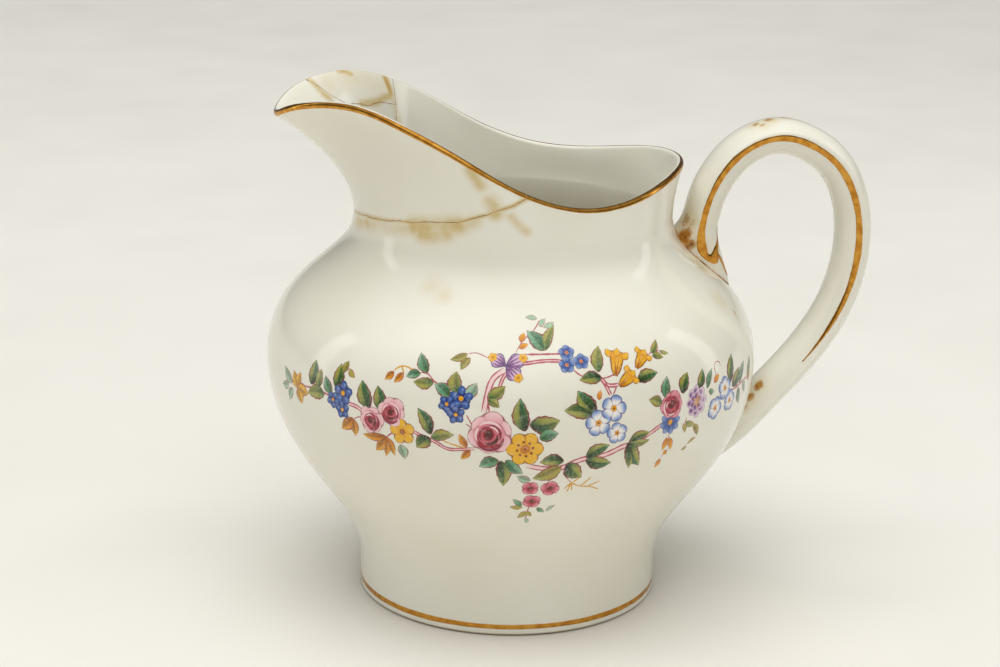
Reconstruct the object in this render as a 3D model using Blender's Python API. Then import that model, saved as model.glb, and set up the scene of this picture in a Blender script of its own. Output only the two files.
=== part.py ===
"""Porcelain cream jug: a turned body with a drawn-out pouring lip and a cast loop handle.

The jug has been broken and mended, so the spout fragment, a small lip chip and the handle are
separate pieces, each held by its own seam of adhesive. Fired gilding runs round the lip, round
the foot and along both edges of the handle.

Sizes are in millimetres and MM turns them into metres. +Z is up and the jug stands on z = 0, the
spout points to -X, the handle to +X, and y = 0 is the plane of symmetry. The turning axis of
the body stands at AXIS_X, so that the origin is under the middle of the whole jug.
"""

import math

import bmesh
import bpy
import numpy as np

MM = 0.001

# Reach from the turning axis of the belly, of the spout tip and of the handle's back.
BELLY_REACH = 43.4
SPOUT_REACH = 42.2
HANDLE_REACH = 64.9
AXIS_X = (BELLY_REACH - HANDLE_REACH) / 2

# Turned profile from the foot to the neck: height above the table, radius.
PROFILE = [
    (0.7, 26.85), (3.0, 26.8), (8.0, 27.0), (14.0, 29.1), (20.0, 33.0), (27.0, 38.0),
    (34.0, 41.6), (41.0, 43.3), (48.0, 43.1), (54.0, 40.5), (59.0, 35.7), (63.0, 31.3),
    (66.5, 28.75), (69.5, 28.1),
]
NECK_Z, NECK_RADIUS = PROFILE[-1]

# Foot ring and recessed underside, from the middle outwards: radius, height.
UNDERSIDE = [(11.0, 2.35), (20.5, 2.2), (22.7, 1.6), (23.5, 0.0), (26.1, 0.0)]
# Floor inside the jug, from the wall to the middle: radius, height.
INNER_FLOOR = [(24.1, 9.5), (22.6, 7.0), (19.0, 5.3), (10.0, 4.7)]
UNDERSIDE_MIDDLE_Z, INNER_FLOOR_MIDDLE_Z = 2.4, 4.6
INNER_WALL_BOTTOM_Z = 12.0

# Lip seen from the handle (first point) round to the spout tip, relative to the axis: x, y, z.
LIP = [
    (30.0, 0.0, 79.2), (28.3, 8.0, 78.9), (23.9, 15.2, 77.8), (16.5, 22.2, 76.3),
    (7.0, 26.9, 76.5), (-3.5, 28.4, 80.1), (-13.5, 27.0, 85.5), (-22.5, 22.4, 89.5),
    (-30.0, 16.0, 91.4), (-36.5, 10.4, 90.8), (-40.6, 5.2, 89.0), (-SPOUT_REACH, 0.0, 87.5),
]
WALL_THICKNESS = 2.2
LIP_THICKNESS = 1.3
BACK_FLARE, SPOUT_FLARE, SIDE_FLARE = 12.0, 57.0, 3.0  # degrees from vertical at the lip

# Breaks, along the lip (0 at the handle, 0.5 at the spout tip, first the +Y side) and up the
# wall (0 at the neck, 1 at the lip). The spout fragment lies above SPOUT_BREAK.
SPOUT_BREAK = [
    (0.334, 1.0), (0.345, 0.62), (0.362, 0.36), (0.39, 0.17), (0.43, 0.07), (0.5, 0.03),
    (0.556, 0.07), (0.606, 0.10), (0.656, 0.17), (0.705, 0.28), (0.735, 0.48), (0.759, 0.74),
    (0.774, 1.0),
]
CHIP_BREAK = [(0.30, 0.74), (0.365, 0.72), (0.39, 0.68), (0.42, 0.71), (0.432, 0.80), (0.444, 1.1)]

GAP = 0.3  # clearance between pieces that touch
SEAM = 0.3  # thickness of an adhesive seam
KERF = GAP + SEAM / 2  # from the middle of a break to the porcelain

# Handle: middle of its section from the upper root round to the lower root, x from the axis, z.
HANDLE_PATH = [
    (25.0, 56.0), (30.2, 61.2), (33.4, 67.3), (34.9, 72.6), (36.7, 76.1), (39.2, 79.2),
    (42.6, 81.6), (46.9, 82.75), (52.6, 81.4), (57.4, 77.9), (60.5, 72.5), (61.75, 66.0),
    (61.4, 59.3), (59.5, 52.4), (56.1, 46.0), (51.4, 39.9), (46.4, 34.4), (42.1, 29.8),
    (38.0, 26.5), (33.5, 24.3), (28.5, 22.8),
]
HANDLE_WIDTH = 9.2
HANDLE_DEPTH = 6.2
HANDLE_CROWN = 1.9  # rise of the broad outer face over its edges
# How much deeper the section gets towards each root, and the share of the path it takes.
UPPER_SPREAD, UPPER_ROOT = 3.2, 0.13
LOWER_SPREAD, LOWER_ROOT = 1.6, 0.12
HANDLE_STATIONS = 38
HANDLE_END_STATIONS = 7

GOLD = 0.35  # thickness given to the gilding
FOOT_GOLD = (1.4, 2.4)  # lower and upper edge of the band round the foot
HANDLE_GOLD_WIDTH = 1.1
HANDLE_GOLD_SPAN = (0.115, 0.775)  # stretch of the handle that the gold lines follow

COLUMNS = 52  # steps round the jug
BELLY_ROWS, NECK_ROWS, INSIDE_ROWS, WALL_ROWS = 11, 7, 12, 5
NECK_FROM = -0.28  # share of the profile where the rows get closer, for the hollow of the neck


class Curve:
    """A natural cubic spline through points, followed by its chord length from 0 to 1."""

    def __init__(self, points, closed=False):
        points = np.array(points, float)
        if closed:
            points = np.vstack([points, points[:1]])
        step = np.linalg.norm(np.diff(points, axis=0), axis=1)
        count = len(points)
        system = np.zeros((count, count))
        right = np.zeros_like(points)
        slopes = np.diff(points, axis=0) / step[:, None]
        for i in range(1, count - 1):
            system[i, i - 1 : i + 2] = step[i - 1], 2 * (step[i - 1] + step[i]), step[i]
            right[i] = 6 * (slopes[i] - slopes[i - 1])
        system[0, 0] = 1
        system[-1, -1] = 1
        if closed:
            system[0, -1] = -1
            system[-1, :2] += 2 * step[0], step[0]
            system[-1, -2:] += step[-1], 2 * step[-1] - 1
            right[-1] = 6 * (slopes[0] - slopes[-1])
        self.bend = np.linalg.solve(system, right)
        self.points = points
        self.step = step
        self.length_at = np.concatenate([[0], np.cumsum(step)])

    def at(self, where):
        length = np.clip(np.atleast_1d(where), 0, 1) * self.length_at[-1]
        i = np.searchsorted(self.length_at, length, side="right") - 1
        i = np.clip(i, 0, len(self.step) - 1)
        step = self.step[i][:, None]
        left = (length - self.length_at[i])[:, None]
        right = (self.length_at[i + 1] - length)[:, None]
        bend, points = self.bend, self.points
        return (
            (bend[i] * right**3 + bend[i + 1] * left**3) / (6 * step)
            + (points[i] / step - bend[i] * step / 6) * right
            + (points[i + 1] / step - bend[i + 1] * step / 6) * left
        )


LIP_CURVE = Curve(LIP + [(x, -y, z) for x, y, z in LIP[-2:0:-1]], closed=True)
PROFILE_CURVE = Curve([(radius, z) for z, radius in PROFILE])
HANDLE_CURVE = Curve(HANDLE_PATH)


def lip(around):
    return LIP_CURVE.at(np.mod(around, 1.0))


def wall_point(around, up):
    """Outer face of the wall above the neck, and below it where up is from -1 at the foot."""
    edge = lip(around)
    angle = np.arctan2(edge[:, 1], edge[:, 0])
    reach = np.hypot(edge[:, 0], edge[:, 1])
    up = np.broadcast_to(up, reach.shape)
    towards_spout = 0.5 - 0.5 * np.cos(angle)
    flare = np.radians(
        SIDE_FLARE
        + BACK_FLARE * np.maximum(0, np.cos(angle)) ** 2
        + SPOUT_FLARE * np.clip((towards_spout - 0.55) / 0.45, 0, 1) ** 1.5
    )
    span = wall_span(around)
    w = np.maximum(up, 0)
    from_neck, neck_pull = 2 * w**3 - 3 * w**2 + 1, w**3 - 2 * w**2 + w
    to_lip, lip_pull = 3 * w**2 - 2 * w**3, w**3 - w**2
    radius = from_neck * NECK_RADIUS + to_lip * reach + lip_pull * span * np.sin(flare)
    z = (from_neck * NECK_Z + neck_pull * span + to_lip * edge[:, 2]
         + lip_pull * span * np.cos(flare))
    below = PROFILE_CURVE.at(np.minimum(up, 0) + 1)
    radius = np.where(up < 0, below[:, 0], radius)
    z = np.where(up < 0, below[:, 1], z)
    return np.stack([radius * np.cos(angle), radius * np.sin(angle), z], axis=1)


def wall_span(around):
    """Distance from the neck to the lip."""
    edge = lip(around)
    return np.hypot(np.hypot(edge[:, 0], edge[:, 1]) - NECK_RADIUS, edge[:, 2] - NECK_Z)


def wall_inside(around, up, depth=None):
    """Inner face of the wall: the outer face moved inwards along its normal."""
    around = np.asarray(around, float)
    up = np.broadcast_to(up, around.shape).astype(float)
    if depth is None:
        depth = WALL_THICKNESS + (LIP_THICKNESS - WALL_THICKNESS) * np.clip(up, 0, 1)
    small = 1e-3
    across = wall_point(around + small, up) - wall_point(around - small, up)
    along = (wall_point(around, np.minimum(up + small, 1))
             - wall_point(around, np.maximum(up - small, -1)))
    normal = np.cross(across, along)
    normal /= np.linalg.norm(normal, axis=1)[:, None]
    return wall_point(around, up) - normal * np.broadcast_to(depth, around.shape)[:, None]


def break_height(points, around):
    """Height of a break up the wall. Past its ends it lies above the lip."""
    places, heights = zip(*points)
    return np.interp(around, places, heights, left=heights[0], right=heights[-1])


def break_offset(points, around, distance):
    """The same break moved up the wall, so that it lies distance from where it was."""
    small = 1e-3
    rise = break_height(points, around + small) - break_height(points, around - small)
    run = np.linalg.norm(lip(around + small) - lip(around - small), axis=1)
    span = wall_span(around)
    steepness = span * rise / run
    return break_height(points, around) + distance / span * np.sqrt(1 + steepness**2)


def seat_height(around):
    """Where porcelain stops under the gilding of the lip."""
    return 1 - (GAP + GOLD) / wall_span(around)


def clear_scene():
    for old in list(bpy.data.objects):
        bpy.data.objects.remove(old)


def principled(name, colour, roughness, metallic=0.0):
    material = bpy.data.materials.new(name)
    material.use_nodes = True
    shader = material.node_tree.nodes["Principled BSDF"]
    shader.inputs["Base Color"].default_value = (*colour, 1)
    shader.inputs["Roughness"].default_value = roughness
    shader.inputs["Metallic"].default_value = metallic
    material.diffuse_color = (*colour, 1)
    return material


def add_object(name, points, faces, material):
    """A mesh object from points in millimetres about the turning axis."""
    mesh = bpy.data.meshes.new(name)
    placed = (np.asarray(points, float) + (AXIS_X, 0, 0)) * MM
    mesh.from_pydata([tuple(p) for p in placed], [], faces)
    shape = bmesh.new()
    shape.from_mesh(mesh)
    bmesh.ops.remove_doubles(shape, verts=shape.verts, dist=1e-7)
    bmesh.ops.recalc_face_normals(shape, faces=shape.faces)
    shape.to_mesh(mesh)
    shape.free()
    mesh.shade_smooth()
    mesh.set_sharp_from_angle(angle=math.radians(40))
    if material:
        mesh.materials.append(material)
    obj = bpy.data.objects.new(name, mesh)
    bpy.context.scene.collection.objects.link(obj)
    return obj


def loft(name, rings, material, closed_path=False):
    """A solid skinned over closed rings of equal length, capped unless its path is closed."""
    rings = np.asarray(rings, float)
    count, around = rings.shape[:2]
    faces = []
    for i in range(count if closed_path else count - 1):
        a, b = i * around, (i + 1) % count * around
        for j in range(around):
            k = (j + 1) % around
            faces.append((a + j, a + k, b + k, b + j))
    if not closed_path:
        faces += [tuple(range(around)), tuple(range((count - 1) * around, count * around))]
    return add_object(name, rings.reshape(-1, 3), faces, material)


def columns():
    """Places round the jug, with further ones at the ends of the breaks."""
    even = np.arange(COLUMNS) / COLUMNS
    ends = [place for place, height in SPOUT_BREAK]
    ends += [ends[0] - 0.004, ends[-1] + 0.004]
    apart = [place for place in even if min(abs(place - np.array(ends))) > 0.004]
    return np.sort(np.array(apart + ends))


def build_body(porcelain):
    around = columns()
    angle = np.arctan2(*lip(around)[:, 1::-1].T)

    def ring(radius, z):
        return np.stack([radius * np.cos(angle), radius * np.sin(angle),
                         np.full(len(angle), z)], axis=1)

    top = np.minimum(seat_height(around), break_offset(SPOUT_BREAK, around, -KERF))
    inside_bottom = -1 + np.interp(INNER_WALL_BOTTOM_Z, PROFILE_CURVE.at(np.linspace(0, 1, 400))[:, 1],
                                   np.linspace(0, 1, 400))
    rows = [ring(radius, z) for radius, z in UNDERSIDE]
    belly = np.linspace(-1, NECK_FROM, BELLY_ROWS, endpoint=False)
    rows += [wall_point(around, up) for up in [*belly, *np.linspace(NECK_FROM, 0, NECK_ROWS)]]
    rows += [wall_point(around, top * k / WALL_ROWS) for k in range(1, WALL_ROWS + 1)]
    rows += [wall_inside(around, top * k / WALL_ROWS) for k in range(WALL_ROWS, 0, -1)]
    rows += [wall_inside(around, up) for up in np.linspace(0, inside_bottom, INSIDE_ROWS)]
    rows += [ring(radius, z) for radius, z in INNER_FLOOR]
    count = len(around)
    points = np.vstack(rows + [[(0, 0, UNDERSIDE_MIDDLE_Z), (0, 0, INNER_FLOOR_MIDDLE_Z)]])
    under, floor = len(points) - 2, len(points) - 1
    last = (len(rows) - 1) * count
    faces = []
    for j in range(count):
        k = (j + 1) % count
        faces.append((under, k, j))
        faces.append((floor, last + j, last + k))
        for row in range(len(rows) - 1):
            a, b = row * count, (row + 1) * count
            faces.append((a + j, a + k, b + k, b + j))
    return add_object("body", points, faces, porcelain)


def wall_piece(name, around, bottom, top, material, rows=WALL_ROWS):
    """A piece of the wall above the neck between two edges."""
    rings = []
    share = np.linspace(0, 1, rows + 1)[:, None]
    up = bottom + (top - bottom) * share
    outer = np.array([wall_point(around, row) for row in up])
    inner = np.array([wall_inside(around, row) for row in up])
    for i in range(len(around)):
        rings.append(np.vstack([outer[:, i], inner[::-1, i]]))
    return loft(name, rings, material)


def span_of(points, low, high):
    """Where the function high lies above the function low, sampled finely."""
    places = np.linspace(points[0], points[1], 2001)
    inside = places[high(places) - low(places) > 0.35 / wall_span(places)]
    return inside[0], inside[-1]


def shard_bottom(around):
    return break_offset(SPOUT_BREAK, around, KERF)


def shard_top(around):
    return np.minimum(seat_height(around), break_offset(CHIP_BREAK, around, -KERF))


def chip_bottom(around):
    return np.maximum(shard_bottom(around), break_offset(CHIP_BREAK, around, KERF))


def build_fragments(porcelain):
    start, end = span_of((0.33, 0.78), shard_bottom, shard_top)
    around = np.unique(np.concatenate([np.linspace(start, end, 30), [0.432, 0.444]]))
    wall_piece("spout_shard", around, shard_bottom(around), shard_top(around), porcelain)
    start, end = span_of((0.33, 0.46), chip_bottom, seat_height)
    around = np.linspace(start, end, 9)
    wall_piece("lip_chip", around, chip_bottom(around), seat_height(around), porcelain, 3)


def seam(name, points, start, end, count, adhesive):
    """The film of adhesive that fills a break, as thick as the wall is."""
    around = np.linspace(start, end, count)
    lower = break_offset(points, around, -SEAM / 2)
    upper = break_offset(points, around, SEAM / 2)
    wall_piece(name, around, lower, upper, adhesive, 1)


def build_seams(adhesive):
    far, near = SPOUT_BREAK[0][0], SPOUT_BREAK[-1][0]
    low = lambda t: break_offset(SPOUT_BREAK, t, SEAM / 2)
    start, end = span_of((far, near), low, seat_height)
    seam("spout_adhesive", SPOUT_BREAK, start, end, 34, adhesive)
    low = lambda t: break_offset(SPOUT_BREAK, t, KERF + SEAM / 2)
    high = lambda t: break_offset(CHIP_BREAK, t, -SEAM / 2)
    start = span_of((far, 0.43), low, high)[0]
    low = lambda t: break_offset(CHIP_BREAK, t, SEAM / 2)
    end = span_of((0.36, 0.46), low, seat_height)[1]
    seam("lip_chip_adhesive", CHIP_BREAK, start, end, 12, adhesive)


def lip_gold(name, start, end, count, gold):
    """Gilding laid over the edge of the lip."""
    around = np.linspace(start, end, count)
    low = 1 - GOLD / wall_span(around)
    wall_piece(name, around, low, np.ones(count), gold, 1)


def build_lip_gold(gold):
    margin = 0.003
    far, near = SPOUT_BREAK[0][0] - margin, SPOUT_BREAK[-1][0] + margin
    chip_end = 0.441
    lip_gold("rim_gilding_body", near, 1 + far, 44, gold)
    lip_gold("rim_gilding_chip", far + 2 * margin, chip_end - margin / 2, 10, gold)
    lip_gold("rim_gilding_spout", chip_end + margin / 2, near - 2 * margin, 26, gold)


def handle_section(where, shift=0.0):
    """Corners of the handle's section, crowned outside, tapering to a rounded inner side."""
    width = HANDLE_WIDTH / 2
    shoulder = HANDLE_DEPTH / 2 - HANDLE_CROWN
    inner = -HANDLE_DEPTH / 2
    half = [
        (0, HANDLE_DEPTH / 2), (width * 0.55, HANDLE_DEPTH / 2 - HANDLE_CROWN * 0.3),
        (width, shoulder), (width * 0.86, -0.9), (width * 0.66, inner + 0.9), (width * 0.36, inner),
    ]
    outline = np.array(half + [(-y, d) for y, d in half[:0:-1]])
    middle = HANDLE_CURVE.at(where)[0]
    ahead = HANDLE_CURVE.at(where + 1e-3)[0] - HANDLE_CURVE.at(where - 1e-3)[0]
    ahead /= np.linalg.norm(ahead)
    outward = np.array([-ahead[1], ahead[0]])
    spread = (1 + (UPPER_SPREAD - 1) * max(0, 1 - where / UPPER_ROOT) ** 2
              + (LOWER_SPREAD - 1) * max(0, 1 - (1 - where) / LOWER_ROOT) ** 2)
    depth = outline[:, 1] * spread + shift
    flat = middle + depth[:, None] * outward
    return np.stack([flat[:, 0], outline[:, 0], flat[:, 1]], axis=1)


def turned_cutter(name, offset):
    """The outside of the body below the handle, grown by offset, for cutting the handle."""
    up = np.concatenate([np.linspace(-1, 0, 40), np.linspace(0.15, 1, 6)])
    back = wall_point(np.zeros(len(up)), up)[:, [0, 2]]
    slope = np.gradient(back, axis=0)
    slope /= np.linalg.norm(slope, axis=1)[:, None]
    grown = back + offset * np.stack([slope[:, 1], -slope[:, 0]], axis=1)
    rings = []
    for radius, z in grown:
        turn = np.radians(np.arange(0, 360, 5))
        rings.append(np.stack([radius * np.cos(turn), radius * np.sin(turn),
                               np.full(len(turn), z)], axis=1))
    cutter = loft(name, rings, None)
    cutter.hide_render = True
    cutter.display_type = "WIRE"
    return cutter


def boolean(obj, operation, cutter):
    modifier = obj.modifiers.new(operation.lower(), "BOOLEAN")
    modifier.operation = operation
    modifier.object = cutter


def build_handle(porcelain, adhesive):
    places = np.linspace(0, 1, HANDLE_STATIONS)
    handle = loft("handle", [handle_section(where) for where in places], porcelain)
    boolean(handle, "DIFFERENCE", turned_cutter("handle_seat", 2 * GAP + SEAM))
    seam_outside = turned_cutter("seam_outside", GAP + SEAM)
    seam_inside = turned_cutter("seam_inside", GAP)
    for name, stations in (("handle_upper_adhesive", places[:HANDLE_END_STATIONS]),
                           ("handle_lower_adhesive", places[-HANDLE_END_STATIONS:])):
        film = loft(name, [handle_section(where) for where in stations], adhesive)
        boolean(film, "INTERSECT", seam_outside)
        boolean(film, "DIFFERENCE", seam_inside)


def build_handle_gold(gold):
    """A line of gilding along each edge of the crowned outer face."""
    places = np.linspace(*HANDLE_GOLD_SPAN, 26)
    for name, side in (("handle_gilding_near", -1), ("handle_gilding_far", 1)):
        rings = []
        for where in places:
            edge, below = handle_section(where)[[2, 3]] * (1, side, 1)
            down = (below - edge) / np.linalg.norm(below - edge) * HANDLE_GOLD_WIDTH
            out = np.array([0, side * GAP, 0])
            skin = np.array([0, side * GOLD, 0])
            rings.append([edge + out, edge + out + skin, edge + out + skin + down, edge + out + down])
        loft(name, rings, gold)


def build_foot_gold(gold):
    low, high = FOOT_GOLD
    turn = np.radians(np.arange(0, 360, 7.5))
    radius = PROFILE[1][1] + 0.05 + GAP
    rings = []
    for angle in turn:
        corners = [(radius, low), (radius + GOLD, low), (radius + GOLD, high), (radius, high)]
        rings.append([(r * math.cos(angle), r * math.sin(angle), z) for r, z in corners])
    loft("foot_gilding", rings, gold, closed_path=True)


def main():
    clear_scene()
    porcelain = principled("porcelain", (0.80, 0.76, 0.66), 0.12)
    adhesive = principled("adhesive", (0.45, 0.22, 0.05), 0.4)
    gold = principled("gilding", (0.75, 0.42, 0.08), 0.22, 1.0)
    build_body(porcelain)
    build_fragments(porcelain)
    build_seams(adhesive)
    build_handle(porcelain, adhesive)
    build_lip_gold(gold)
    build_handle_gold(gold)
    build_foot_gold(gold)


main()
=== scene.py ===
"""Looks of the porcelain cream jug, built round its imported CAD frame.

The jug is bone china with a clear glaze, fired gilding and a garland of raised enamel flowers. It
has been broken and glued, so brown adhesive shows in its breaks and round the roots of its handle.
Shapes are worked out in millimetres about the turning axis of the body, and MM turns them into
metres. The spout points to -X, the handle to +X, and the garland's middle faces -Y.
"""

import math

import bmesh
import bpy
import numpy as np
from mathutils import Matrix, Vector, noise


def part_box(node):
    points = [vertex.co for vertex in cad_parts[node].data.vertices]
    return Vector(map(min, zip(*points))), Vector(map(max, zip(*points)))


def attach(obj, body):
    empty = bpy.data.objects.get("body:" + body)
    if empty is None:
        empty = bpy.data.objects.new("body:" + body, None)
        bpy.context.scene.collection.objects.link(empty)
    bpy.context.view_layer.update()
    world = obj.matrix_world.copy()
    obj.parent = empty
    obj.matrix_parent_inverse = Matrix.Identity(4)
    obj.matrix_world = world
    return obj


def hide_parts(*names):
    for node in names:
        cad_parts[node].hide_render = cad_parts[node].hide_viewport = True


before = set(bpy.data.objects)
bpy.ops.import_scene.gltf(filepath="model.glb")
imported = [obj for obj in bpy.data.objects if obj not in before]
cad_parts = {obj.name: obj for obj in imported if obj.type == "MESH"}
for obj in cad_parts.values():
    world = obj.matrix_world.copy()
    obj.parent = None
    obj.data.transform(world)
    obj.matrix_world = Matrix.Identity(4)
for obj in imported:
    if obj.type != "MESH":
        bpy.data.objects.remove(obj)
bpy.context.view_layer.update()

MM = 0.001
FOOT_LOW, FOOT_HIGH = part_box("foot_gilding")
AXIS_X = (FOOT_LOW.x + FOOT_HIGH.x) / 2 / MM

# ---------------------------------------------------------------- shape of the jug, as in the CAD

# Foot, belly and neck: height above the table, radius.
PROFILE = [
    (0.7, 26.85), (3.0, 26.8), (8.0, 27.0), (14.0, 29.1), (20.0, 33.0), (27.0, 38.0),
    (34.0, 41.6), (41.0, 43.3), (48.0, 43.1), (54.0, 40.5), (59.0, 35.7), (63.0, 31.3),
    (66.5, 28.75), (69.5, 28.1),
]
NECK_Z, NECK_RADIUS = PROFILE[-1]
FOOT_RADIUS, FOOT_ROUNDING = 26.85, 0.7
# Recessed underside and floor of the inside: radius, height.
FOOT_RING_INSIDE = [(0.0, 2.4), (11.0, 2.35), (20.5, 2.2), (22.0, 1.85), (23.0, 0.75), (23.5, 0.15)]
FOOT_FLAT_INSIDE = 24.1  # radius from which outwards the foot ring touches the table
INNER_FLOOR = [(24.1, 9.5), (22.6, 7.0), (19.0, 5.3), (10.0, 4.7), (0.0, 4.6)]
INNER_WALL_BOTTOM_Z = 12.0
# The far half of the lip, from over the handle round to the spout's tip: x, y, z.
LIP = [
    (30.0, 0.0, 79.2), (28.3, 8.0, 78.9), (23.9, 15.2, 77.8), (16.5, 22.2, 76.3),
    (7.0, 26.9, 76.5), (-3.5, 28.4, 80.1), (-13.5, 27.0, 85.5), (-22.5, 22.4, 89.5),
    (-30.0, 16.0, 91.4), (-36.5, 10.4, 90.8), (-40.6, 5.2, 89.0), (-42.2, 0.0, 87.5),
]
WALL_THICKNESS, LIP_THICKNESS = 2.2, 1.3
BACK_FLARE, SPOUT_FLARE, SIDE_FLARE = 12.0, 57.0, 3.0  # degrees from vertical at the lip

# Breaks: place along the lip, from over the handle (0) round by the far side, the spout's tip (0.5)
# and the near side, and height up the wall, from the neck (0) to the lip (1).
SPOUT_BREAK = [
    (0.334, 1.0), (0.345, 0.62), (0.362, 0.36), (0.39, 0.17), (0.43, 0.07), (0.5, 0.03),
    (0.556, 0.07), (0.606, 0.10), (0.656, 0.17), (0.705, 0.28), (0.735, 0.48), (0.759, 0.74),
    (0.774, 1.0),
]
CHIP_BREAK = [(0.30, 0.74), (0.365, 0.72), (0.39, 0.68), (0.42, 0.71), (0.432, 0.80), (0.444, 1.1)]
BREAK_WAVES = [(0.003, 190, 0), (0.0018, 613, 1), (0.0009, 1571, 2)]  # height, rate and start
CHIP_END = 0.441  # where the chip's break crosses the middle of the lip
SKIN_DEPTH, HANDLE_SKIN_DEPTH = 0.02, 0.03  # how far gold and enamel reach into the glaze
HAIRLINE = 0.05  # from the middle of a break to the porcelain
GLUE_FILM = 0.95 * HAIRLINE  # from the middle of a break to the faces of its glue
# Stretches of the lip within which the breaks run out or meet.
FAR_END, NEAR_END = (0.333, 0.345), (0.755, 0.774)
BREAKS_MEET, CHIP_CORNER = (0.334, 0.36), (0.43, 0.444)

# Middle line of the handle, from the upper root to the lower: x, z.
HANDLE_PATH = [
    (25.0, 56.0), (30.2, 61.2), (33.4, 67.3), (34.9, 72.6), (36.7, 76.1), (39.2, 79.2),
    (42.6, 81.6), (46.9, 82.75), (52.6, 81.4), (57.4, 77.9), (60.5, 72.5), (61.75, 66.0),
    (61.4, 59.3), (59.5, 52.4), (56.1, 46.0), (51.4, 39.9), (46.4, 34.4), (42.1, 29.8),
    (38.0, 26.5), (33.5, 24.3), (28.5, 22.8),
]
HANDLE_WIDTH, HANDLE_DEPTH, HANDLE_CROWN = 9.2, 6.2, 1.9
# How many times deeper the handle is at each root, and the share of its length that deepens.
UPPER_SPREAD, UPPER_ROOT = 3.2, 0.13
LOWER_SPREAD, LOWER_ROOT = 1.6, 0.12
# The upper root's inner side runs out along the shoulder: by how much, up to where, over what share.
FLARE_REACH, FLARE_END, FLARE_LENGTH = 5.6, 0.125, 0.055
ROOT_DEPTH = 1.0  # how far the handle's ends go into the body's wall

# How finely the surfaces are divided.
COLUMNS, SHARD_COLUMNS, CHIP_COLUMNS = 288, 190, 60
BELLY_ROWS, WALL_ROWS, EDGE_ROWS, INSIDE_ROWS, FLOOR_ROWS, CHIP_ROWS = 84, 30, 9, 60, 25, 10
HANDLE_RINGS, SEAM_RINGS, BEAD_RINGS = 260, 700, 180
BREAK_STEP = 0.0006  # the wall steps up from a break to the lip within this stretch


class Curve:
    """A natural cubic spline through points, followed by its chord length from 0 to 1."""

    def __init__(self, points, closed=False):
        points = np.array(points, float)
        if closed:
            points = np.vstack([points, points[:1]])
        step = np.linalg.norm(np.diff(points, axis=0), axis=1)
        count = len(points)
        system = np.zeros((count, count))
        right = np.zeros_like(points)
        slopes = np.diff(points, axis=0) / step[:, None]
        for i in range(1, count - 1):
            system[i, i - 1 : i + 2] = step[i - 1], 2 * (step[i - 1] + step[i]), step[i]
            right[i] = 6 * (slopes[i] - slopes[i - 1])
        system[0, 0] = 1
        system[-1, -1] = 1
        if closed:
            system[0, -1] = -1
            system[-1, :2] += 2 * step[0], step[0]
            system[-1, -2:] += step[-1], 2 * step[-1] - 1
            right[-1] = 6 * (slopes[0] - slopes[-1])
        self.bend = np.linalg.solve(system, right)
        self.points = points
        self.step = step
        self.length_at = np.concatenate([[0], np.cumsum(step)])

    def at(self, where):
        length = np.clip(np.atleast_1d(where), 0, 1) * self.length_at[-1]
        i = np.searchsorted(self.length_at, length, side="right") - 1
        i = np.clip(i, 0, len(self.step) - 1)
        step = self.step[i][:, None]
        left = (length - self.length_at[i])[:, None]
        right = (self.length_at[i + 1] - length)[:, None]
        bend, points = self.bend, self.points
        return (
            (bend[i] * right**3 + bend[i + 1] * left**3) / (6 * step)
            + (points[i] / step - bend[i] * step / 6) * right
            + (points[i + 1] / step - bend[i + 1] * step / 6) * left
        )


def beside_line(line, where):
    """Points of a flat line, and the direction to its left at each."""
    ahead = line.at(where + 1e-3) - line.at(where - 1e-3)
    ahead /= np.linalg.norm(ahead, axis=1)[:, None]
    return line.at(where), np.stack([-ahead[:, 1], ahead[:, 0]], axis=1)


LIP_CURVE = Curve(LIP + [(x, -y, z) for x, y, z in LIP[-2:0:-1]], closed=True)
PROFILE_CURVE = Curve([(radius, z) for z, radius in PROFILE])
HANDLE_CURVE = Curve(HANDLE_PATH)


def lip(around):
    """The outer edge of the lip at places round it."""
    return LIP_CURVE.at(np.mod(around, 1.0))


def wall_span(around):
    """Distance from the neck to the lip."""
    edge = lip(around)
    return np.hypot(np.hypot(edge[:, 0], edge[:, 1]) - NECK_RADIUS, edge[:, 2] - NECK_Z)


def wall_point(around, up):
    """Outer face of the wall above the neck, and below it where up is from -1 at the foot."""
    edge = lip(around)
    angle = np.arctan2(edge[:, 1], edge[:, 0])
    reach = np.hypot(edge[:, 0], edge[:, 1])
    up = np.broadcast_to(up, reach.shape)
    towards_spout = 0.5 - 0.5 * np.cos(angle)
    flare = np.radians(
        SIDE_FLARE
        + BACK_FLARE * np.maximum(0, np.cos(angle)) ** 2
        + SPOUT_FLARE * np.clip((towards_spout - 0.55) / 0.45, 0, 1) ** 1.5
    )
    span = wall_span(around)
    w = np.maximum(up, 0)
    from_neck, neck_pull = 2 * w**3 - 3 * w**2 + 1, w**3 - 2 * w**2 + w
    to_lip, lip_pull = 3 * w**2 - 2 * w**3, w**3 - w**2
    radius = from_neck * NECK_RADIUS + to_lip * reach + lip_pull * span * np.sin(flare)
    z = (from_neck * NECK_Z + neck_pull * span + to_lip * edge[:, 2]
         + lip_pull * span * np.cos(flare))
    below = PROFILE_CURVE.at(np.minimum(up, 0) + 1)
    radius = np.where(up < 0, below[:, 0], radius)
    z = np.where(up < 0, below[:, 1], z)
    return np.stack([radius * np.cos(angle), radius * np.sin(angle), z], axis=1)


def wall_directions(around, up):
    """Outward normal of the wall, and the direction up it."""
    small = 1e-3
    across = wall_point(around + small, up) - wall_point(around - small, up)
    along = (wall_point(around, np.minimum(up + small, 1))
             - wall_point(around, np.maximum(up - small, -1)))
    normal = np.cross(across, along)
    normal /= np.linalg.norm(normal, axis=1)[:, None]
    along /= np.linalg.norm(along, axis=1)[:, None]
    return normal, along


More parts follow.
